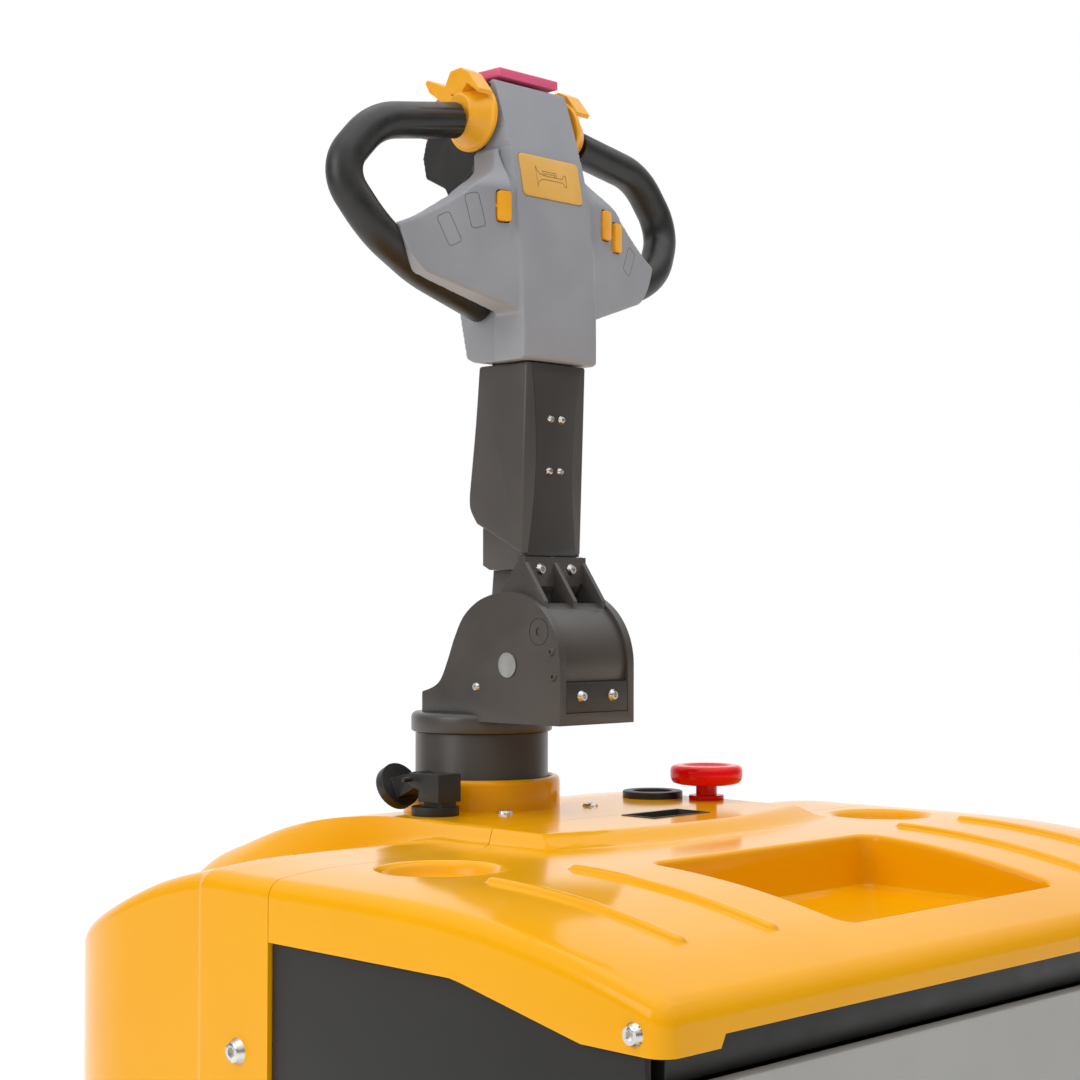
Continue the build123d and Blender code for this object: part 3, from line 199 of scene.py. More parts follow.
def dress(piece, finish):
    """Gives a piece one finish all over."""
    piece.data.materials.clear()
    piece.data.materials.append(finish)


for node, piece in frame["nodes"].items():
    dress(piece, finishes[slots[node]])
# the arm's insert and the lower window plate: the column's enamel in a deeper shade
insert_finish = surface("baked_enamel_deep", "#33302E", "#2C2927", 0.4, 1.1, 0.03, 70)


# ---------------------------------------------------------------- making and shaping pieces
def only(piece):
    """Selects one piece and makes it active."""
    bpy.ops.object.select_all(action="DESELECT")
    piece.select_set(True)
    bpy.context.view_layer.objects.active = piece


def smooth(piece, angle=34):
    """Smooth shading that keeps edges sharper than angle, in degrees."""
    only(piece)
    bpy.ops.object.shade_smooth_by_angle(angle=math.radians(angle))


def modify(piece, kind, **settings):
    """Adds a modifier with its settings and applies it."""
    only(piece)
    modifier = piece.modifiers.new(kind.lower(), kind)
    for key, value in settings.items():
        setattr(modifier, key, value)
    bpy.ops.object.modifier_apply(modifier=modifier.name)


def declare(piece, node, replaces=()):
    """Names what a piece rides on, what it stands for and its finish."""
    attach(piece, body_of[node])
    for name in (node, *replaces):
        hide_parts(name)
    dress(piece, finishes[slots[node]])
    return piece


def copy_of(node):
    """A free copy of a CAD node, with its loose triangles merged and its flat faces joined up."""
    only(frame["nodes"][node])
    bpy.ops.object.duplicate()
    piece = bpy.context.view_layer.objects.active
    piece.name = node + "_shell"
    piece.parent = None
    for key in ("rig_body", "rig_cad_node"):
        del piece[key]
    bpy.ops.object.mode_set(mode="EDIT")
    bpy.ops.mesh.select_all(action="SELECT")
    bpy.ops.mesh.remove_doubles(threshold=0.00001)
    bpy.ops.mesh.dissolve_limited(angle_limit=math.radians(0.6))
    bpy.ops.object.mode_set(mode="OBJECT")
    return piece


def softened(node, width, segments=3, angle=30):
    """A CAD node's shape with its edges rounded to a width in mm."""
    piece = copy_of(node)
    modify(piece, "BEVEL", width=width * MM, segments=segments, limit_method="ANGLE",
           angle_limit=math.radians(angle), use_clamp_overlap=True, miter_outer="MITER_ARC")
    smooth(piece, 40)
    return declare(piece, node)


edge_rounds = {
    "side_panel_left": 1.0, "side_panel_right": 1.0, "front_plate": 1.5, "lip_seal": 1.0, "rear_bumper": 1.5,
    "tiller_root": 0.8, "window_plate": 0.4, "arm_tube": 1.2,
    "column_tube": 1.0, "fork_frame": 2.0, "chassis_frame": 1.2,
    "belly_button": 1.2,
    "horn_button": 0.8, "rocker_left": 0.8, "rocker_right_inner": 0.8, "rocker_right_outer": 0.8,
    "charge_socket": 0.8, "hinged_cap": 0.9, "display_frame": 0.3,
    "stop_base": 0.6, "drive_housing": 2.0, "caster_yoke_left": 1.0, "caster_yoke_right": 1.0,
    "load_arm_left": 1.0, "load_arm_right": 1.0, "battery": 4.0,
}
for node, width in edge_rounds.items():
    softened(node, width)


def smooth_step(t):
    """0 to 1 with a level start and end."""
    t = min(1.0, max(0.0, t))
    return t * t * (3 - 2 * t)


def along(points, value):
    """A smooth line through (place, height) points, level beyond its ends."""
    if value <= points[0][0]:
        return points[0][1]
    for k in range(len(points) - 1):
        (x0, z0), (x1, z1) = points[k], points[k + 1]
        if value <= x1:
            before = points[k - 1] if k else points[k]
            after = points[k + 2] if k + 2 < len(points) else points[k + 1]
            m0 = (z1 - before[1]) / (x1 - before[0]) * (x1 - x0)
            m1 = (after[1] - z0) / (after[0] - x0) * (x1 - x0)
            t = (value - x0) / (x1 - x0)
            return ((2 * t**3 - 3 * t**2 + 1) * z0 + (t**3 - 2 * t**2 + t) * m0
                    + (3 * t**2 - 2 * t**3) * z1 + (t**3 - t**2) * m1)
    return points[-1][1]


def joined(pieces):
    """Several pieces as one mesh."""
    bpy.ops.object.select_all(action="DESELECT")
    for piece in pieces:
        piece.select_set(True)
    bpy.context.view_layer.objects.active = pieces[0]
    bpy.ops.object.join()
    return pieces[0]


def box_piece(centre, size, turn=None, round_mm=0.0):
    """A block with its four long edges rounded, turned by a matrix about its centre."""
    bpy.ops.object.select_all(action="DESELECT")
    bpy.ops.mesh.primitive_cube_add(size=1)
    piece = bpy.context.view_layer.objects.active
    piece.data.transform(Matrix.Diagonal((size[0] * MM, size[1] * MM, size[2] * MM, 1)))
    if round_mm:
        bpy.ops.object.mode_set(mode="EDIT")
        bpy.ops.mesh.select_all(action="DESELECT")
        mesh = bmesh.from_edit_mesh(piece.data)
        for edge in mesh.edges:
            along_edge = edge.verts[1].co - edge.verts[0].co
            edge.select = abs(along_edge.x) > 0.9 * along_edge.length
        bmesh.update_edit_mesh(piece.data)
        bpy.ops.mesh.bevel(offset=round_mm * MM, segments=6)
        bpy.ops.object.mode_set(mode="OBJECT")
    if turn is not None:
        piece.data.transform(turn)
    piece.data.transform(Matrix.Translation(centre))
    return piece


def cut(piece, *cutters):
    """Takes the cutters' shapes out of a piece."""
    for cutter in cutters:
        modify(piece, "BOOLEAN", operation="DIFFERENCE", solver="EXACT", object=cutter)
        bpy.data.objects.remove(cutter, do_unlink=True)


def moulded(node, fills, cell, rounds, passes):
    """A CAD node's shape drawn again as one skin with soft edges, its pockets filled first by fills."""
    piece = joined([copy_of(node)] + fills)
    modify(piece, "REMESH", mode="VOXEL", voxel_size=cell * MM, use_smooth_shade=True)
    modify(piece, "SMOOTH", factor=rounds, iterations=passes)
    return piece


def eased_outline(points, steps=6):
    """More points on a smooth line through (x, z) points."""
    line = []
    for k in range(len(points) - 1):
        before, after = points[max(0, k - 1)], points[min(len(points) - 1, k + 2)]
        for n in range(steps):
            t = n / steps
            for_axis = []
            for axis in (0, 1):
                a, b, c, d = before[axis], points[k][axis], points[k + 1][axis], after[axis]
                for_axis.append(0.5 * (2 * b + (c - a) * t + (2 * a - 5 * b + 4 * c - d) * t**2
                                       + (3 * b - a - 3 * c + d) * t**3))
            line.append(tuple(for_axis))
    return line + [points[-1]]


def prism(name, outline, low, high):
    """A side outline in (forward, height), carried across from one side place to another."""
    bpy.ops.object.select_all(action="DESELECT")
    bpy.ops.mesh.primitive_circle_add(vertices=len(outline), radius=1, fill_type="NGON")
    piece = bpy.context.view_layer.objects.active
    piece.name = name
    for vertex, (x, z) in zip(piece.data.vertices, outline):
        vertex.co = at(x, low, z)
    bpy.ops.object.mode_set(mode="EDIT")
    bpy.ops.mesh.select_all(action="SELECT")
    bpy.ops.mesh.extrude_region_move(TRANSFORM_OT_translate={"value": (0, (high - low) * MM, 0)})
    bpy.ops.mesh.select_all(action="SELECT")
    bpy.ops.mesh.normals_make_consistent(inside=False)
    bpy.ops.object.mode_set(mode="OBJECT")
    return piece


def facing_plate(name, outline, front, thick):
    """An (across, height) outline whose face follows front(across), drawn back to a thickness."""
    bpy.ops.object.select_all(action="DESELECT")
    bpy.ops.mesh.primitive_circle_add(vertices=len(outline), radius=1, fill_type="NGON")
    piece = bpy.context.view_layer.objects.active
    piece.name = name
    for vertex, (side, height) in zip(piece.data.vertices, outline):
        vertex.co = at(front(side), side, height)
    bpy.ops.object.mode_set(mode="EDIT")
    bpy.ops.mesh.select_all(action="SELECT")
    bpy.ops.mesh.extrude_region_move(TRANSFORM_OT_translate={"value": (-thick * MM, 0, 0)})
    bpy.ops.mesh.select_all(action="SELECT")
    bpy.ops.mesh.normals_make_consistent(inside=False)
    bpy.ops.object.mode_set(mode="OBJECT")
    return piece


def turn_of(normal, across_way):
    """The rotation whose x is the outward normal and y the way across."""
    x = Vector(normal).normalized()
    y = (Vector(across_way) - x * x.dot(Vector(across_way))).normalized()
    z = x.cross(y)
    return Matrix((x, y, z)).transposed().to_4x4()


WING_SLOPE = 0.265      # how far a wing falls back for each mm outwards
SLAB_HALF = 42          # half width of the slab between the wings


def wing_face(side):
    """How far forward a wing's face stands."""
    return 89.6 - WING_SLOPE * (abs(side) - SLAB_HALF)


def on_wing(side, height, out=0.0):
    """A place on a wing's face and the turn that lies flat on it."""
    s = 1 if side > 0 else -1
    turn = turn_of((1, WING_SLOPE * s, 0), (-WING_SLOPE * s, 1, 0))
    centre = at(wing_face(side), side, height) + (turn @ Vector((out * MM, 0, 0)))
    return centre, turn


horn_turn = turn_of((1, 0, 0.197), (0, 1, 0))
horn_centre = at(81.2, 0, 1244)
rockers = ((-57.0, 1213.5), (62.0, 1214.0), (80.0, 1206.5))
horn_fill = box_piece(horn_centre + horn_turn @ Vector((-0.0045, 0, 0)), (9, 70, 38), horn_turn)
rocker_fills = []
for side, height in rockers:
    centre, turn = on_wing(side, height, -4.5)
    rocker_fills.append(box_piece(centre, (9, 16, 28.5), turn))
# one wing's outline in (side, height): the sweep along its top, its tip, and its lower edge
WING_TOP = [(60, 1262), (67, 1245), (90, 1222), (125, 1201), (142, 1193.5)]
WING_TIP = [(142, 1193.5), (148.5, 1189), (149.5, 1182), (147, 1172), (140, 1163)]
WING_FOOT = [(135, 1160), (90, 1146), (36, 1130), (36, 1262)]
wing_fills = []
for s_side in (-1, 1):
    plan = eased_outline(WING_TOP, 5) + eased_outline(WING_TIP, 5)[1:] + WING_FOOT
    wing_fills.append(facing_plate("wing_fill", [(s_side * y, z) for y, z in plan], wing_face, 13))
head_front = moulded("head_front", [horn_fill] + rocker_fills + wing_fills, 1.3, 0.5, 6)
# (height, side) of the wings' outer ends, and (height, forward) of the slab's front face
WING_END = ((1146, 108), (1152, 116), (1160, 127), (1170, 136), (1182, 142.5), (1193, 146), (1200, 148))
FACE = ((1095, 94), (1140, 93.4), (1189, 89.6), (1242, 82.3), (1279, 73), (1324.4, 57.6))
for vertex in head_front.data.vertices:
    side, height = abs(vertex.co.y) / MM, vertex.co.z / MM
    if side < SLAB_HALF and height > 1150:
        vertex.co.x = min(vertex.co.x, steer + along(FACE, height) * MM)
    # the wings' inner ends lie just behind the front face, and their tops lean back towards the hubs
    behind = 4.5 * (1 - smooth_step((side - 43) / 9)) * smooth_step((height - 1180) / 25)
    lean_back = 20 * smooth_step((height - 1227) / 38)
    vertex.co.x -= smooth_step((side - 41.2) / 1.6) * (behind + lean_back) * MM
    if side > SLAB_HALF and height > 1225:
        side = SLAB_HALF + (side - SLAB_HALF) * (1 - 0.7 * smooth_step((height - 1225) / 38))
    side = min(side, along(WING_END, height))
    vertex.co.y = math.copysign(side, vertex.co.y) * MM
modify(head_front, "SMOOTH", factor=0.5, iterations=2)
horn_pocket = box_piece(horn_centre + horn_turn @ Vector((0.0035, 0, 0)), (20, 68.9, 36.9), horn_turn, 4.4)
pockets = [horn_pocket]
for side, height in rockers:
    centre, turn = on_wing(side, height, 3.0)
    pockets.append(box_piece(centre, (20, 13.6, 26.4), turn, 3.2))


def outline_cutter(side, height, width, length, lean):
    """A thin raised frame that engraves a blank switch place into a wing."""
    centre, turn = on_wing(side, height, 0.0)
    tilt = Matrix.Rotation(math.radians(lean), 4, "X")
    outer = box_piece(centre, (1.2, width, length), turn @ tilt, 3.0)
    inner = box_piece(centre, (4, width - 1.3, length - 1.3), turn @ tilt, 2.5)
    cut(outer, inner)
    return outer


for blank in ((-81.5, 1208, 13.5, 28, 15), (-103.5, 1191, 13, 26, 27), (103, 1190, 13, 24, -27)):
    pockets.append(outline_cutter(*blank))
cut(head_front, *pockets)
smooth(head_front, 50)
declare(head_front, "head_front")
head_rear = moulded("head_rear", [], 1.15, 0.5, 4)
smooth(head_rear, 50)
declare(head_rear, "head_rear")
head_rear.data.materials.append(finishes["black_plastic"])
for face in head_rear.data.polygons:
    if abs(face.normal.y) > 0.5 and face.center.z > 1.150 and abs(face.center.y) > 24 * MM:
        face.material_index = 1
for s_side in (-1, 1):
    # the dark back of each wing, which carries the switches
    plan = eased_outline([(40, 1262), (48, 1254), (57, 1238), (86, 1213), (122, 1194), (137, 1187)], 5)
    plan += [(141, 1178), (130, 1166), (90, 1154), (40, 1150)]
    wing_back = facing_plate("wing_back_left" if s_side < 0 else "wing_back_right",
                             [(s_side * y, z) for y, z in plan],
                             lambda y: 78.6 - WING_SLOPE * (abs(y) - 42), 17)
    for vertex in wing_back.data.vertices:
        vertex.co.x -= 22 * smooth_step((vertex.co.z / MM - 1222) / 38) * MM
    modify(wing_back, "BEVEL", width=5 * MM, segments=4, limit_method="ANGLE", angle_limit=math.radians(50))
    smooth(wing_back, 40)
    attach(wing_back, "tiller")
    dress(wing_back, finishes["black_plastic"])
for node in ("throttle_left", "throttle_right"):
    hub = moulded(node, [], 0.6, 0.5, 6)
    smooth(hub, 50)
    declare(hub, node)
for node in ("grip_left", "grip_right", "drive_tyre", "drive_hub", "caster_wheel_left", "caster_wheel_right",
             "load_roller_left", "load_roller_right", "gauge_bezel", "pivot_pin", "push_rods",
             "lift_cylinder", "lift_ram", "drive_motor", "slewing_ring", "bracket_screws", "arm_screws",
             "cover_screws", "throttle_shaft"):
    piece = copy_of(node)
    smooth(piece, 40)
    declare(piece, node)

# ---------------------------------------------------------------- moulded covers as one height over the plan
HALF = 348.0            # half width of the covers
REACH = 254.0           # steering axis back to the rear rim
LIP = 515.0             # steering axis forward to the front lip
LIP_CORNER = 14.0       # plan radius of the two front corners
CUP = (226.0, 249.0)    # a cup's centre, forward and to the side
CUP_EDGE = 44           # radius at which a cup's rim meets the deck
TRAY = (302.0, 467.0, 124.0)                    # start, end and half width
TRAY_CORNER = 12.0
TRAY_FLOOR = 680.0
RIBS = ((266.0, 292.0, 458.0), (186.0, 288.0, 462.0))   # side place, start and end
RIB_HALF = 5.5
RIB_FOOT = 6.4          # half width of a rib where its fillet ends
DISPLAY = (143.0, 178.0, 18.0, 85.0)            # start, end and the two sides of the display's recess
DISPLAY_FLOOR = 721.0
PLATFORM = (-116, 180)  # the two sides of the instrument platform's top
SEAM_BACK = 136.0       # the seam between the covers, at the platform
SEAM_STEP = 32          # how far forward it steps beside the platform

# (place, depth or height) profiles: out from a cup's centre, out from a rib's middle, and in over the
# tray's rim and down its wall
CUP_PROFILE = ((0, 14), (28, 14), (33, 12.6), (36, 9.5), (38, 5.5), (40, 2.2), (CUP_EDGE, 0))
RIB_PROFILE = ((0, 3.3), (2.4, 3.1), (4.2, 2.2), (RIB_HALF, 0.5), (RIB_FOOT, 0))
TRAY_RIM = ((-5, 0), (-3, 0.1), (-1.4, 0.9), (-0.4, 2.4), (0, 4.5))
TRAY_WALL = ((0, 0), (1.4, 0.84), (2.4, 0.93), (4.2, 0.985), (7, 1.0))
# (forward, height) along the middle of the platform and along the deck beside it
CROWN = ((-262, 640), (-228, 672), (-173, 692), (-118, 710), (-62, 722), (0, 729), (40, 730), (260, 730))
SIDE_DECK = ((-262, 608), (-120, 652), (-40, 680), (30, 706), (88, 719), (130, 720), (300, 720),
             (380, 714), (450, 702), (515, 686), (530, 682))


def seam(y):
    """Where the two covers meet, stepped round the instrument platform."""
    beyond = max(y - 186, PLATFORM[0] - y, 0)
    return SEAM_BACK + min(SEAM_STEP, beyond * 0.8)


def rim_gap(x, y):
    """How far a point lies inside the rim of the covers."""
    if x < 0:
        part = math.hypot(x / REACH, y / HALF)
        return (1 - part) * math.hypot(x, y) / max(0.02, part)
    a, b = x - (LIP - LIP_CORNER), abs(y) - (HALF - LIP_CORNER)
    if a > 0 and b > 0:
        return LIP_CORNER - math.hypot(a, b)
    return min(LIP - x, HALF - abs(y))


def platform_part(x, y):
    """1 on the raised instrument platform, falling to 0 across its chamfer."""
    spread = 16 + 50 * smooth_step(-x / 200)       # the chamfer widens down the rear slope
    across = min((y - PLATFORM[0] + spread) / spread, (PLATFORM[1] + spread - y) / spread)
    bow = ((y - 30) / 150) ** 2
    front = (240 - 26 * bow - x) / 26
    ramp = min(across, front, 1.0)
    return max(0.0, ramp) if ramp < 1 else 1.0


def rounded_part(t):
    """A ramp with its foot and its crest softened."""
    return 0.55 * smooth_step(t) + 0.45 * min(1.0, max(0.0, t))


def cover_height(x, y):
    """The covers' height over a place in the plan, the cups, the ribs and the tray included."""
    deck_line = along(SIDE_DECK, x)
    top = deck_line + (along(CROWN, x) - deck_line) * rounded_part(platform_part(x, y))
    gap = max(0.0, rim_gap(x, y))
    shoulder = 5.0 * (1 - min(1.0, gap / 70)) ** 2
    edge = 11.0
    if gap < edge:
        shoulder += edge - math.sqrt(edge**2 - (edge - gap) ** 2)
    top -= shoulder
    for cup_y in (-CUP[1], CUP[1]):
        radius = math.hypot(x - CUP[0], y - cup_y)
        if radius < CUP_EDGE:
            top -= along(CUP_PROFILE, radius)
    for rib_y, start, end in RIBS:
        reach = math.hypot(max(start + RIB_HALF - x, 0, x - end + RIB_HALF), abs(y) - rib_y)
        if reach < RIB_FOOT:
            top += along(RIB_PROFILE, reach)
    inside = tray_depth(x, y)
    if inside > TRAY_RIM[0][0]:
        top -= along(TRAY_RIM, inside)
        if inside > 0:
            top += (TRAY_FLOOR - top) * along(TRAY_WALL, inside)
    if DISPLAY[0] < x < DISPLAY[1] and DISPLAY[2] < y < DISPLAY[3]:
        top = DISPLAY_FLOOR
    return top


def tray_depth(x, y):
    """How far a point lies inside the tray's rim, with the corners rounded."""
    a = max(TRAY[0] + TRAY_CORNER - x, x - TRAY[1] + TRAY_CORNER)
    b = abs(y) - (TRAY[2] - TRAY_CORNER)
    if a > 0 and b > 0:
        return TRAY_CORNER - math.hypot(a, b)
    return TRAY_CORNER - max(a, b)


def rounded_place(x, y):
    """Bends the square grid lines round the cups, the tray's corners and the front corners."""
    for cup_y in (-CUP[1], CUP[1]):
        a, b = x - CUP[0], y - cup_y
        reach = max(abs(a), abs(b))
        if 0 < reach < 56:
            round_a, round_b = squared_to_round(a, b)
            keep = 1 - smooth_step((reach - 45) / 11)
            return CUP[0] + a + (round_a - a) * keep, cup_y + b + (round_b - b) * keep
    corner = TRAY_CORNER
    middle_x, half_x = (TRAY[0] + TRAY[1]) / 2, (TRAY[1] - TRAY[0]) / 2
    sx, sy = (1 if x > middle_x else -1), (1 if y > 0 else -1)
    a, b = abs(x - middle_x) - (half_x - corner), abs(y) - (TRAY[2] - corner)
    reach = max(a, b)
    if a > 0 and b > 0 and reach < 34:
        round_a, round_b = squared_to_round(a, b)
        keep = 1 - smooth_step((reach - 18) / 16)
        return (middle_x + sx * (half_x - corner + a + (round_a - a) * keep),
                sy * (TRAY[2] - corner + b + (round_b - b) * keep))
    corner = LIP_CORNER
    a, b = x - (LIP - corner), abs(y) - (HALF - corner)
    if a > 0 and b > 0:
        round_a, round_b = squared_to_round(a, b)
        return LIP - corner + round_a, sy * (HALF - corner + round_b)
    return x, y


def squared_to_round(a, b):
    """Takes a point on a square ring to the same place on a round one."""
    reach = max(abs(a), abs(b))
    if reach == 0:
        return a, b
    if abs(a) >= abs(b):
        turn = math.pi / 4 * b / a
        s = 1 if a > 0 else -1
        return s * reach * math.cos(turn), s * reach * math.sin(turn)
    turn = math.pi / 4 * a / b
    s = 1 if b > 0 else -1
    return s * reach * math.sin(turn), s * reach * math.cos(turn)


def lines(stretches, extra, least=0.3):
    """Grid lines: evenly spaced (start, end, step) stretches with extra places, none nearer than least."""
    values = list(extra)
    for start, end, step in stretches:
        count = max(1, round((end - start) / step))
        values += [start + (end - start) * k / count for k in range(count + 1)]
    values.sort()
    kept = [values[0]]
    for value in values[1:]:
        if value - kept[-1] > least:
            kept.append(value)
    return kept


def sheet_of(name, columns, rows, place):
    """A grid with a vertex at place(column, row) for each pair of grid lines."""
    bpy.ops.object.select_all(action="DESELECT")
    bpy.ops.mesh.primitive_grid_add(x_subdivisions=len(columns) - 1, y_subdivisions=len(rows) - 1, size=1)
    piece = bpy.context.view_layer.objects.active
    piece.name = name
    wide, deep = len(columns) - 1, len(rows) - 1
    for vertex in piece.data.vertices:
        i, j = round((vertex.co.x + 0.5) * wide), round((vertex.co.y + 0.5) * deep)
        vertex.co = place(columns[i], rows[j])
    return piece


def walled(piece, foot, open_edge, wall=4.0):
    """Draws a cover's skirt down from its rim to foot(x, y), and gives it a wall inwards."""
    only(piece)
    bpy.ops.object.mode_set(mode="EDIT")
    bpy.ops.mesh.select_all(action="SELECT")
    bpy.ops.mesh.remove_doubles(threshold=0.00002)
    bpy.ops.mesh.select_all(action="DESELECT")
    mesh = bmesh.from_edit_mesh(piece.data)
    for edge in mesh.edges:
        if edge.is_boundary and not all(open_edge(vertex.co) for vertex in edge.verts):
            edge.select = True
    bmesh.update_edit_mesh(piece.data)
    bpy.ops.mesh.extrude_edges_move()
    mesh = bmesh.from_edit_mesh(piece.data)
    for vertex in mesh.verts:
        if vertex.select:
            vertex.co.z = foot((vertex.co.x - steer) / MM, vertex.co.y / MM) * MM
    bmesh.update_edit_mesh(piece.data)
    bpy.ops.mesh.select_all(action="SELECT")
    bpy.ops.mesh.normals_make_consistent(inside=False)
    bpy.ops.object.mode_set(mode="OBJECT")
    if sum(face.normal.z * face.area for face in piece.data.polygons) < 0:
        piece.data.flip_normals()
    modify(piece, "SOLIDIFY", thickness=wall * MM, offset=-1.0, use_even_offset=False)
    return piece


def battery_foot(x, y):
    """The lower edge of the battery cover's skirt, cut away over the front plate."""
    if x > LIP - 0.5 and abs(y) < 300:
        return 661.5
    return along(((136, 676), (346, 676), (347, 676), (453, 654), (454, 654), (530, 654)), x)


# grid lines lie close together where the height turns: round the cups, the rims, the tray and the ribs
cup_steps = (8, 16, 23, 28, 31, 33, 34.5, 36, 37, 38, 39, 40.5, 42, 44, 48, 52, 56)
around_cup = [s * d for s in (-1, 1) for d in cup_steps] + [0]
edge_steps = [0, 0.4, 1.2, 2.4, 4, 6, 8.5, 11, 16, 24, 34]
tray_steps = [-8, -5, -3.8, -3, -2.2, -1.4, -0.8, -0.4, 0, 0.5, 1, 1.4, 1.9, 2.4, 3.2, 4.2, 5.5, 7, 9, 12]
rib_steps = [0, 1.2, 2.4, 3.3, 4.2, 4.9, 5.5, 6.0, 6.6]
chamfer_sides = [-132, -128, -124, -120, -116, 180, 184, 188, 192, 196]
battery_columns = lines(
    [(136.6, 168.6, 4), (168.6, 300, 6), (300, 470, 9), (470, 500, 6)],
    [CUP[0] + d for d in around_cup] + [LIP - d for d in edge_steps] + [TRAY[0] + d for d in tray_steps]
    + [TRAY[1] - d for d in tray_steps] + [142.9, 143.3, 177.7, 178.1]
    + [start + RIB_HALF - d for _, start, _ in RIBS for d in rib_steps]
    + [end - RIB_HALF + d for _, _, end in RIBS for d in rib_steps])
battery_rows = lines(
    [(-HALF, HALF, 9)],
    [s * (CUP[1] + d) for s in (-1, 1) for d in around_cup]
    + [s * (HALF - d) for s in (-1, 1) for d in edge_steps]
    + [s * (TRAY[2] - d) for s in (-1, 1) for d in tray_steps]
    + [s * (rib_y + side * d) for s in (-1, 1) for rib_y, _, _ in RIBS for side in (-1, 1) for d in rib_steps]
    + [17.9, 18.3, 84.7, 85.1] + chamfer_sides)


def battery_place(column, row):
    """A place on the battery cover: column runs forward from the seam, row runs across."""
    x, y = rounded_place(max(column, seam(row) + 0.6), row)
    return at(x, y, cover_height(x, y))


battery_cover = sheet_of("battery_cover_shell", battery_columns, battery_rows, battery_place)
walled(battery_cover, battery_foot,
       lambda point: (point.x - steer) / MM < min(seam(point.y / MM) + 1.0, 169.0))
smooth(battery_cover, 40)
declare(battery_cover, "battery_cover")

rear_turns = [math.degrees(math.asin(y / HALF)) for y in chamfer_sides]
rear_rows = lines([(-90, 90, 1.5)], [s * (90 - d) for s in (-1, 1) for d in (0.7, 2.2)] + rear_turns, 0.2)
rear_columns = lines([(0.10, 1, 0.018), (0.5, 0.58, 0.008)],
                     [0, 0.0008, 0.003, 0.007, 0.012, 0.018, 0.026, 0.036, 0.05, 0.07, 0.085], 0.0005)


def rear_place(column, row):
    """A place on the rear cover: column 0 to 1 from the rear rim to the seam, row in degrees round the rim."""
    y = HALF * math.sin(math.radians(row))
    start = -REACH * math.cos(math.radians(row))
    x = start + (seam(y) - start) * column
    # behind the pillar band the cover is drawn in by a little
    drawn_in = 1.6 * smooth_step((93 - x) / 5)
    return at(x, y * (1 - drawn_in / HALF), cover_height(x, y) - drawn_in * smooth_step((abs(y) - 240) / 60))


rear_cover = sheet_of("rear_cover_shell", rear_columns, rear_rows, rear_place)
walled(rear_cover, lambda x, y: 200.0, lambda point: (point.x - steer) / MM > seam(point.y / MM) - 0.4)


def cylinder_at(name, place, radius, height, sides=64):
    """A plain round bar standing on a place, for cutting or as a start."""
    bpy.ops.object.select_all(action="DESELECT")
    bpy.ops.mesh.primitive_cylinder_add(vertices=sides, radius=radius * MM, depth=height * MM,
                                        location=place + Vector((0, 0, height / 2 * MM)))
    piece = bpy.context.view_layer.objects.active
    piece.name = name
    bpy.ops.object.transform_apply(location=True, rotation=True, scale=True)
    return piece


cut(rear_cover, cylinder_at("cutter", at(0, 0, 600), 58.5, 300, 128),
    cylinder_at("cutter", at(57, 150, 690), 20, 60), cylinder_at("cutter", at(103, 168, 690), 10, 60))
smooth(rear_cover, 40)


def turned(name, outline, centre, steps=96):
    """A closed (radius, height) outline spun about an upright line through centre."""
    bpy.ops.object.select_all(action="DESELECT")
    bpy.ops.mesh.primitive_plane_add(size=1)
    piece = bpy.context.view_layer.objects.active
    piece.name = name
    bpy.ops.object.mode_set(mode="EDIT")
    mesh = bmesh.from_edit_mesh(piece.data)
    bmesh.ops.delete(mesh, geom=mesh.verts[:], context="VERTS")
    ring = [mesh.verts.new(centre + Vector((radius * MM, 0, height * MM))) for radius, height in outline]
    for k, vertex in enumerate(ring):
        mesh.edges.new((vertex, ring[(k + 1) % len(ring)]))
    bmesh.update_edit_mesh(piece.data)
    bpy.ops.mesh.select_all(action="SELECT")
    bpy.ops.mesh.spin(steps=steps, angle=math.tau, center=centre, axis=(0, 0, 1))
    bpy.ops.mesh.select_all(action="SELECT")
    bpy.ops.mesh.remove_doubles(threshold=0.00001)
    bpy.ops.mesh.normals_make_consistent(inside=False)
    bpy.ops.object.mode_set(mode="OBJECT")
    return piece


collar = turned("cover_collar", [(58.6, -8), (65.5, -8), (65.5, 20), (65.1, 22.6), (64, 24.3), (62.4, 25), (60.4, 25),
                                 (59.2, 24.2), (58.6, 22.6)], at(0, 0, 730), 128)
smooth(collar, 40)
for piece in (rear_cover, collar):
    declare(piece, "rear_cover")

# ---------------------------------------------------------------- steering bracket, flange and horn mark
PIVOT = (75.7, 849.0)   # the tiller's pivot, forward and up
CHEEK_RADIUS = 58.5
round_top = [(PIVOT[0] + CHEEK_RADIUS * math.cos(math.radians(a)),
              PIVOT[1] + CHEEK_RADIUS * math.sin(math.radians(a))) for a in range(0, 97, 4)]
back_slope = eased_outline([(69.6, 907.2), (54, 904.5), (38, 898.5), (23, 887), (12.5, 870), (4, 851),
                            (-4.5, 835.5), (-14, 829), (-26.5, 825.2)])
bracket = prism("tiller_bracket_shell", [(-27.4, 802.5), (134, 802.5)] + round_top + back_slope + [(-27.4, 824)],
                -42.4, 42.4)
slot = box_piece(at(75, 0, 872), (230, 70.4, 120))
cut(bracket, slot)
modify(bracket, "BEVEL", width=1.3 * MM, segments=3, limit_method="ANGLE", angle_limit=math.radians(50))
grooves = []
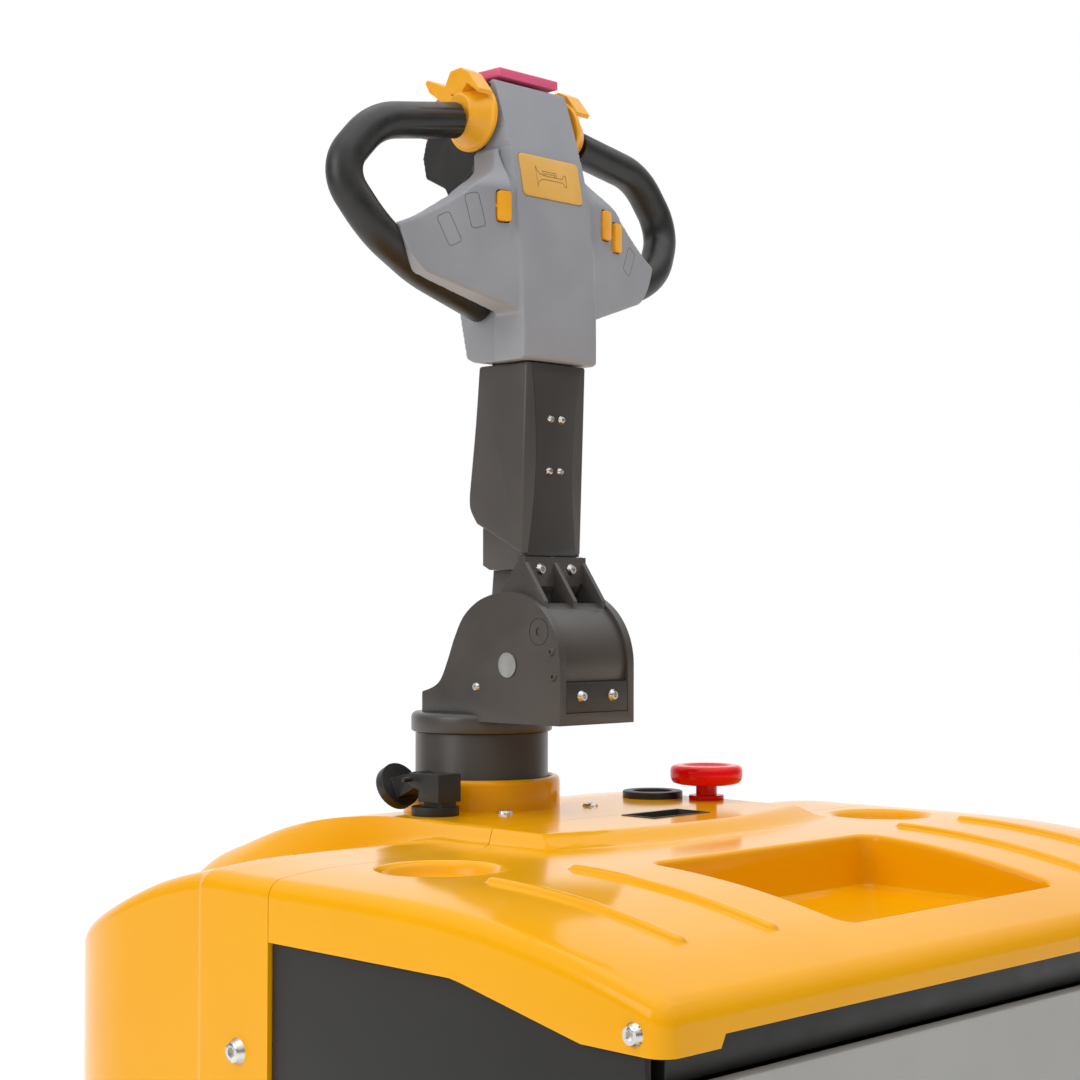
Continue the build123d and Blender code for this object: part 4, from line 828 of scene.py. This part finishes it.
for s_side in (-1, 1):
    # a ring and a dimple in its middle, engraved in each cheek
    dimple = cylinder_at("cutter", Vector((0, 0, -0.0009)), 3.4, 2.7, 32)
    ring = turned("cutter", [(10.2, -0.6), (10.8, -0.6), (10.8, 2), (10.2, 2)], Vector((0, 0, 0)), 64)
    for groove in (dimple, ring):
        groove.data.transform(Matrix.Rotation(math.radians(-90 * s_side), 4, "X"))
        groove.data.transform(Matrix.Translation(at(110.9, s_side * 42.4, 875.8)))
        grooves.append(groove)
cut(bracket, *grooves)
bore = cylinder_at("cutter", Vector((0, 0, -0.1)), 10.05, 200, 64)
bore.data.transform(Matrix.Rotation(math.radians(90), 4, "X"))
bore.data.transform(Matrix.Translation(at(PIVOT[0], 0, PIVOT[1])))
cut(bracket, bore)
smooth(bracket, 40)
declare(bracket, "tiller_bracket")

# ---------------------------------------------------------------- the arm's cover and insert, and round parts
ARM_LEAN = 6.7 / 157    # how far the arm's front leans forward for each mm up


def arm_front(height):
    """How far forward the arm's front face stands."""
    return 82.3 + (height - 935) * ARM_LEAN


arm_outline = ([(29, 963), (83.0, 937), (arm_front(1092), 1092), (32, 1092)]
               + eased_outline([(32, 1092), (27.5, 1045), (22, 1002), (20, 984), (21.5, 974), (29, 963)], 3)[1:-1])
arm_cover = prism("arm_cover_shell", arm_outline, -33.7, 33.7)
modify(arm_cover, "BEVEL", width=2.2 * MM, segments=4, limit_method="ANGLE", angle_limit=math.radians(35))
smooth(arm_cover, 40)
declare(arm_cover, "arm_cover")

half_widths = eased_outline([(936, 28.2), (955, 25.5), (985, 22.2), (1015, 21), (1045, 22.4), (1070, 25.2),
                             (1091.6, 28.4)], 4)
insert_outline = ([(-half, height) for height, half in half_widths]
                  + [(half, height) for height, half in half_widths[::-1]])
arm_insert = facing_plate("arm_insert_shell", insert_outline, lambda y: 0.0, 4)
for vertex in arm_insert.data.vertices:
    height = vertex.co.z / MM
    vertex.co.x += (arm_front(height) + 0.75) * MM
modify(arm_insert, "BEVEL", width=0.6 * MM, segments=2, limit_method="ANGLE", angle_limit=math.radians(50))
smooth(arm_insert, 40)
declare(arm_insert, "arm_insert")

flange = turned("column_flange_shell", [(0, 792), (57.4, 792), (58.6, 792.6), (59, 793.8), (59, 804), (58.2, 806.4),
                                        (56, 808), (52, 808.4), (0, 808.4)], at(0, 0, 0), 128)
smooth(flange, 40)
declare(flange, "column_flange")


stop_button = turned("stop_button_shell", [(0, 718), (9, 718), (9, 743), (23, 743), (28.5, 744.6), (30.6, 747.4),
                                           (31, 750), (31, 755), (30.2, 757.6), (28.4, 759.1), (26, 759.5),
                                           (21.5, 759.5), (19.6, 758.9), (18, 757.7), (0, 757.4)],
                     at(103, 168, 0), 96)
smooth(stop_button, 40)
declare(stop_button, "stop_button")


def engraved_line(points, thick, closed=False):
    """A thin dark line on the horn button, through (across, up) points."""
    bpy.ops.object.select_all(action="DESELECT")
    bpy.ops.curve.primitive_bezier_curve_add()
    line = bpy.context.view_layer.objects.active
    line.data.splines.clear()
    spline = line.data.splines.new("POLY")
    spline.points.add(len(points) - 1)
    for point, (across, up) in zip(spline.points, points):
        place = horn_centre + horn_turn @ Vector((1.5 * MM, across * MM, up * MM))
        point.co = (*place, 1)
    spline.use_cyclic_u = closed
    line.data.dimensions = "3D"
    line.data.bevel_depth = thick * MM
    line.data.bevel_resolution = 1
    bpy.ops.object.convert(target="MESH")
    return bpy.context.view_layer.objects.active


horn_outline = [(-17, 9), (-15.5, 5), (-12, 2.4), (-8, 1.6), (13, 1.6), (15, 5), (17, 5), (17, -5), (15, -5),
                (13, -1.6), (-8, -1.6), (-12, -2.4), (-15.5, -5), (-17, -9)]
horn_loop = [(-9, 1.6), (-9, 5.4), (6, 5.4), (6, 1.6)]
horn_loop_inner = [(-7, 1.6), (-7, 3.6), (4, 3.6), (4, 1.6)]
mark_parts = []
for points, closed in ((horn_outline, True), (horn_loop, False), (horn_loop_inner, False)):
    mark_parts.append(engraved_line(points, 0.28, closed))
horn_mark = joined(mark_parts)
horn_mark.name = "horn_mark"
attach(horn_mark, "horn")
# the horn mark is engraved and filled with a darker amber
dress(horn_mark, surface("engraved_filled", "#8A6A3A", "#7A5C30", 0.6, 1.0, 0.01, 30))

for name in ("arm_insert_shell", "window_plate_shell"):
    dress(bpy.data.objects[name], insert_finish)
# the two small screws near each cheek's front edge take the bracket's dark enamel finish, darker than the other
# screws
small_screws = bpy.data.objects["bracket_screws_shell"]
small_screws.data.materials.append(finishes["column_dark"])
for face in small_screws.data.polygons:
    if face.center.x > steer + 118 * MM and abs(face.center.y) > 42 * MM:
        face.material_index = 1

# ---------------------------------------------------------------- floor, light and camera
bpy.ops.object.select_all(action="DESELECT")
bpy.ops.mesh.primitive_plane_add(size=60, location=(0, 0, 0))
floor = bpy.context.view_layer.objects.active
floor.name = "floor"
# a matt white floor, lit a little from within
dress(floor, surface("studio_floor", "#F6F6F6", "#F2F2F2", 0.8, 400, 0.0, 4000))

world = bpy.data.worlds.new("studio")
world.use_nodes = True
# a white cyclorama on one side of a dim studio: bright towards -X+Y and overhead, dim elsewhere
sky = world.node_tree
view = add_node(world, "ShaderNodeTexCoord")
towards = add_node(world, "ShaderNodeVectorMath", {"operation": "DOT_PRODUCT"}, {0: (view, "Generated")})
towards.inputs[1].default_value = (-0.711, 0.703, 0.0)
wall_glow = add_node(world, "ShaderNodeMapRange", {"interpolation_type": "SMOOTHSTEP", "From Min": 0.35,
                     "From Max": 0.85, "To Min": 0.24, "To Max": 1.0}, {"Value": (towards, "Value")})
upwards = add_node(world, "ShaderNodeSeparateXYZ", {}, {"Vector": (view, "Generated")})
top_glow = add_node(world, "ShaderNodeMapRange", {"interpolation_type": "SMOOTHSTEP", "From Min": 0.15,
                    "From Max": 0.7, "To Min": 0.0, "To Max": 1.0}, {"Value": (upwards, "Z")})
glow = add_node(world, "ShaderNodeMath", {"operation": "MAXIMUM"},
                {0: (wall_glow, "Result"), 1: (top_glow, "Result")})
sky.links.new(glow.outputs[0], sky.nodes["Background"].inputs["Strength"])
sky.nodes["Background"].inputs["Color"].default_value = (1, 1, 1, 1)
bpy.context.scene.world = world
bpy.context.scene.view_settings.view_transform = "Standard"


def softbox(name, place, aim, size, power):
    """A large area light that faces a point."""
    lamp = bpy.data.lights.new(name, "AREA")
    lamp.shape = "RECTANGLE"
    lamp.size, lamp.size_y = size
    lamp.energy = power
    holder = bpy.data.objects.new(name, lamp)
    bpy.context.scene.collection.objects.link(holder)
    holder.location = place
    holder.rotation_euler = (Vector(aim) - Vector(place)).to_track_quat("-Z", "Y").to_euler()


floor_shader = floor.data.materials[0].node_tree.nodes["Principled BSDF"]
floor_shader.inputs["Emission Color"].default_value = (1, 1, 1, 1)
floor_shader.inputs["Emission Strength"].default_value = 0.22
target = at(60, 0, 900)
softbox("key", target + Vector((-0.5, -2.9, 1.3)), target + Vector((0, 0, -0.2)), (1.8, 1.8), 30)
softbox("overhead", target + Vector((0.4, 0.2, 2.6)), target, (3.5, 3.5), 36)

camera_place = at(1229.5, -1147.0, 896.0)
heading = Vector((-0.711, 0.703, 0)).normalized()
pitch = math.radians(1.89)
look = heading * math.cos(pitch) + Vector((0, 0, math.sin(pitch)))
lens = bpy.data.cameras.new("camera")
lens.sensor_width = 36
lens.lens = 66.67
lens.clip_start = 0.05
camera = bpy.data.objects.new("camera", lens)
bpy.context.scene.collection.objects.link(camera)
camera.location = camera_place
camera.rotation_euler = look.to_track_quat("-Z", "Y").to_euler()
bpy.context.scene.camera = camera
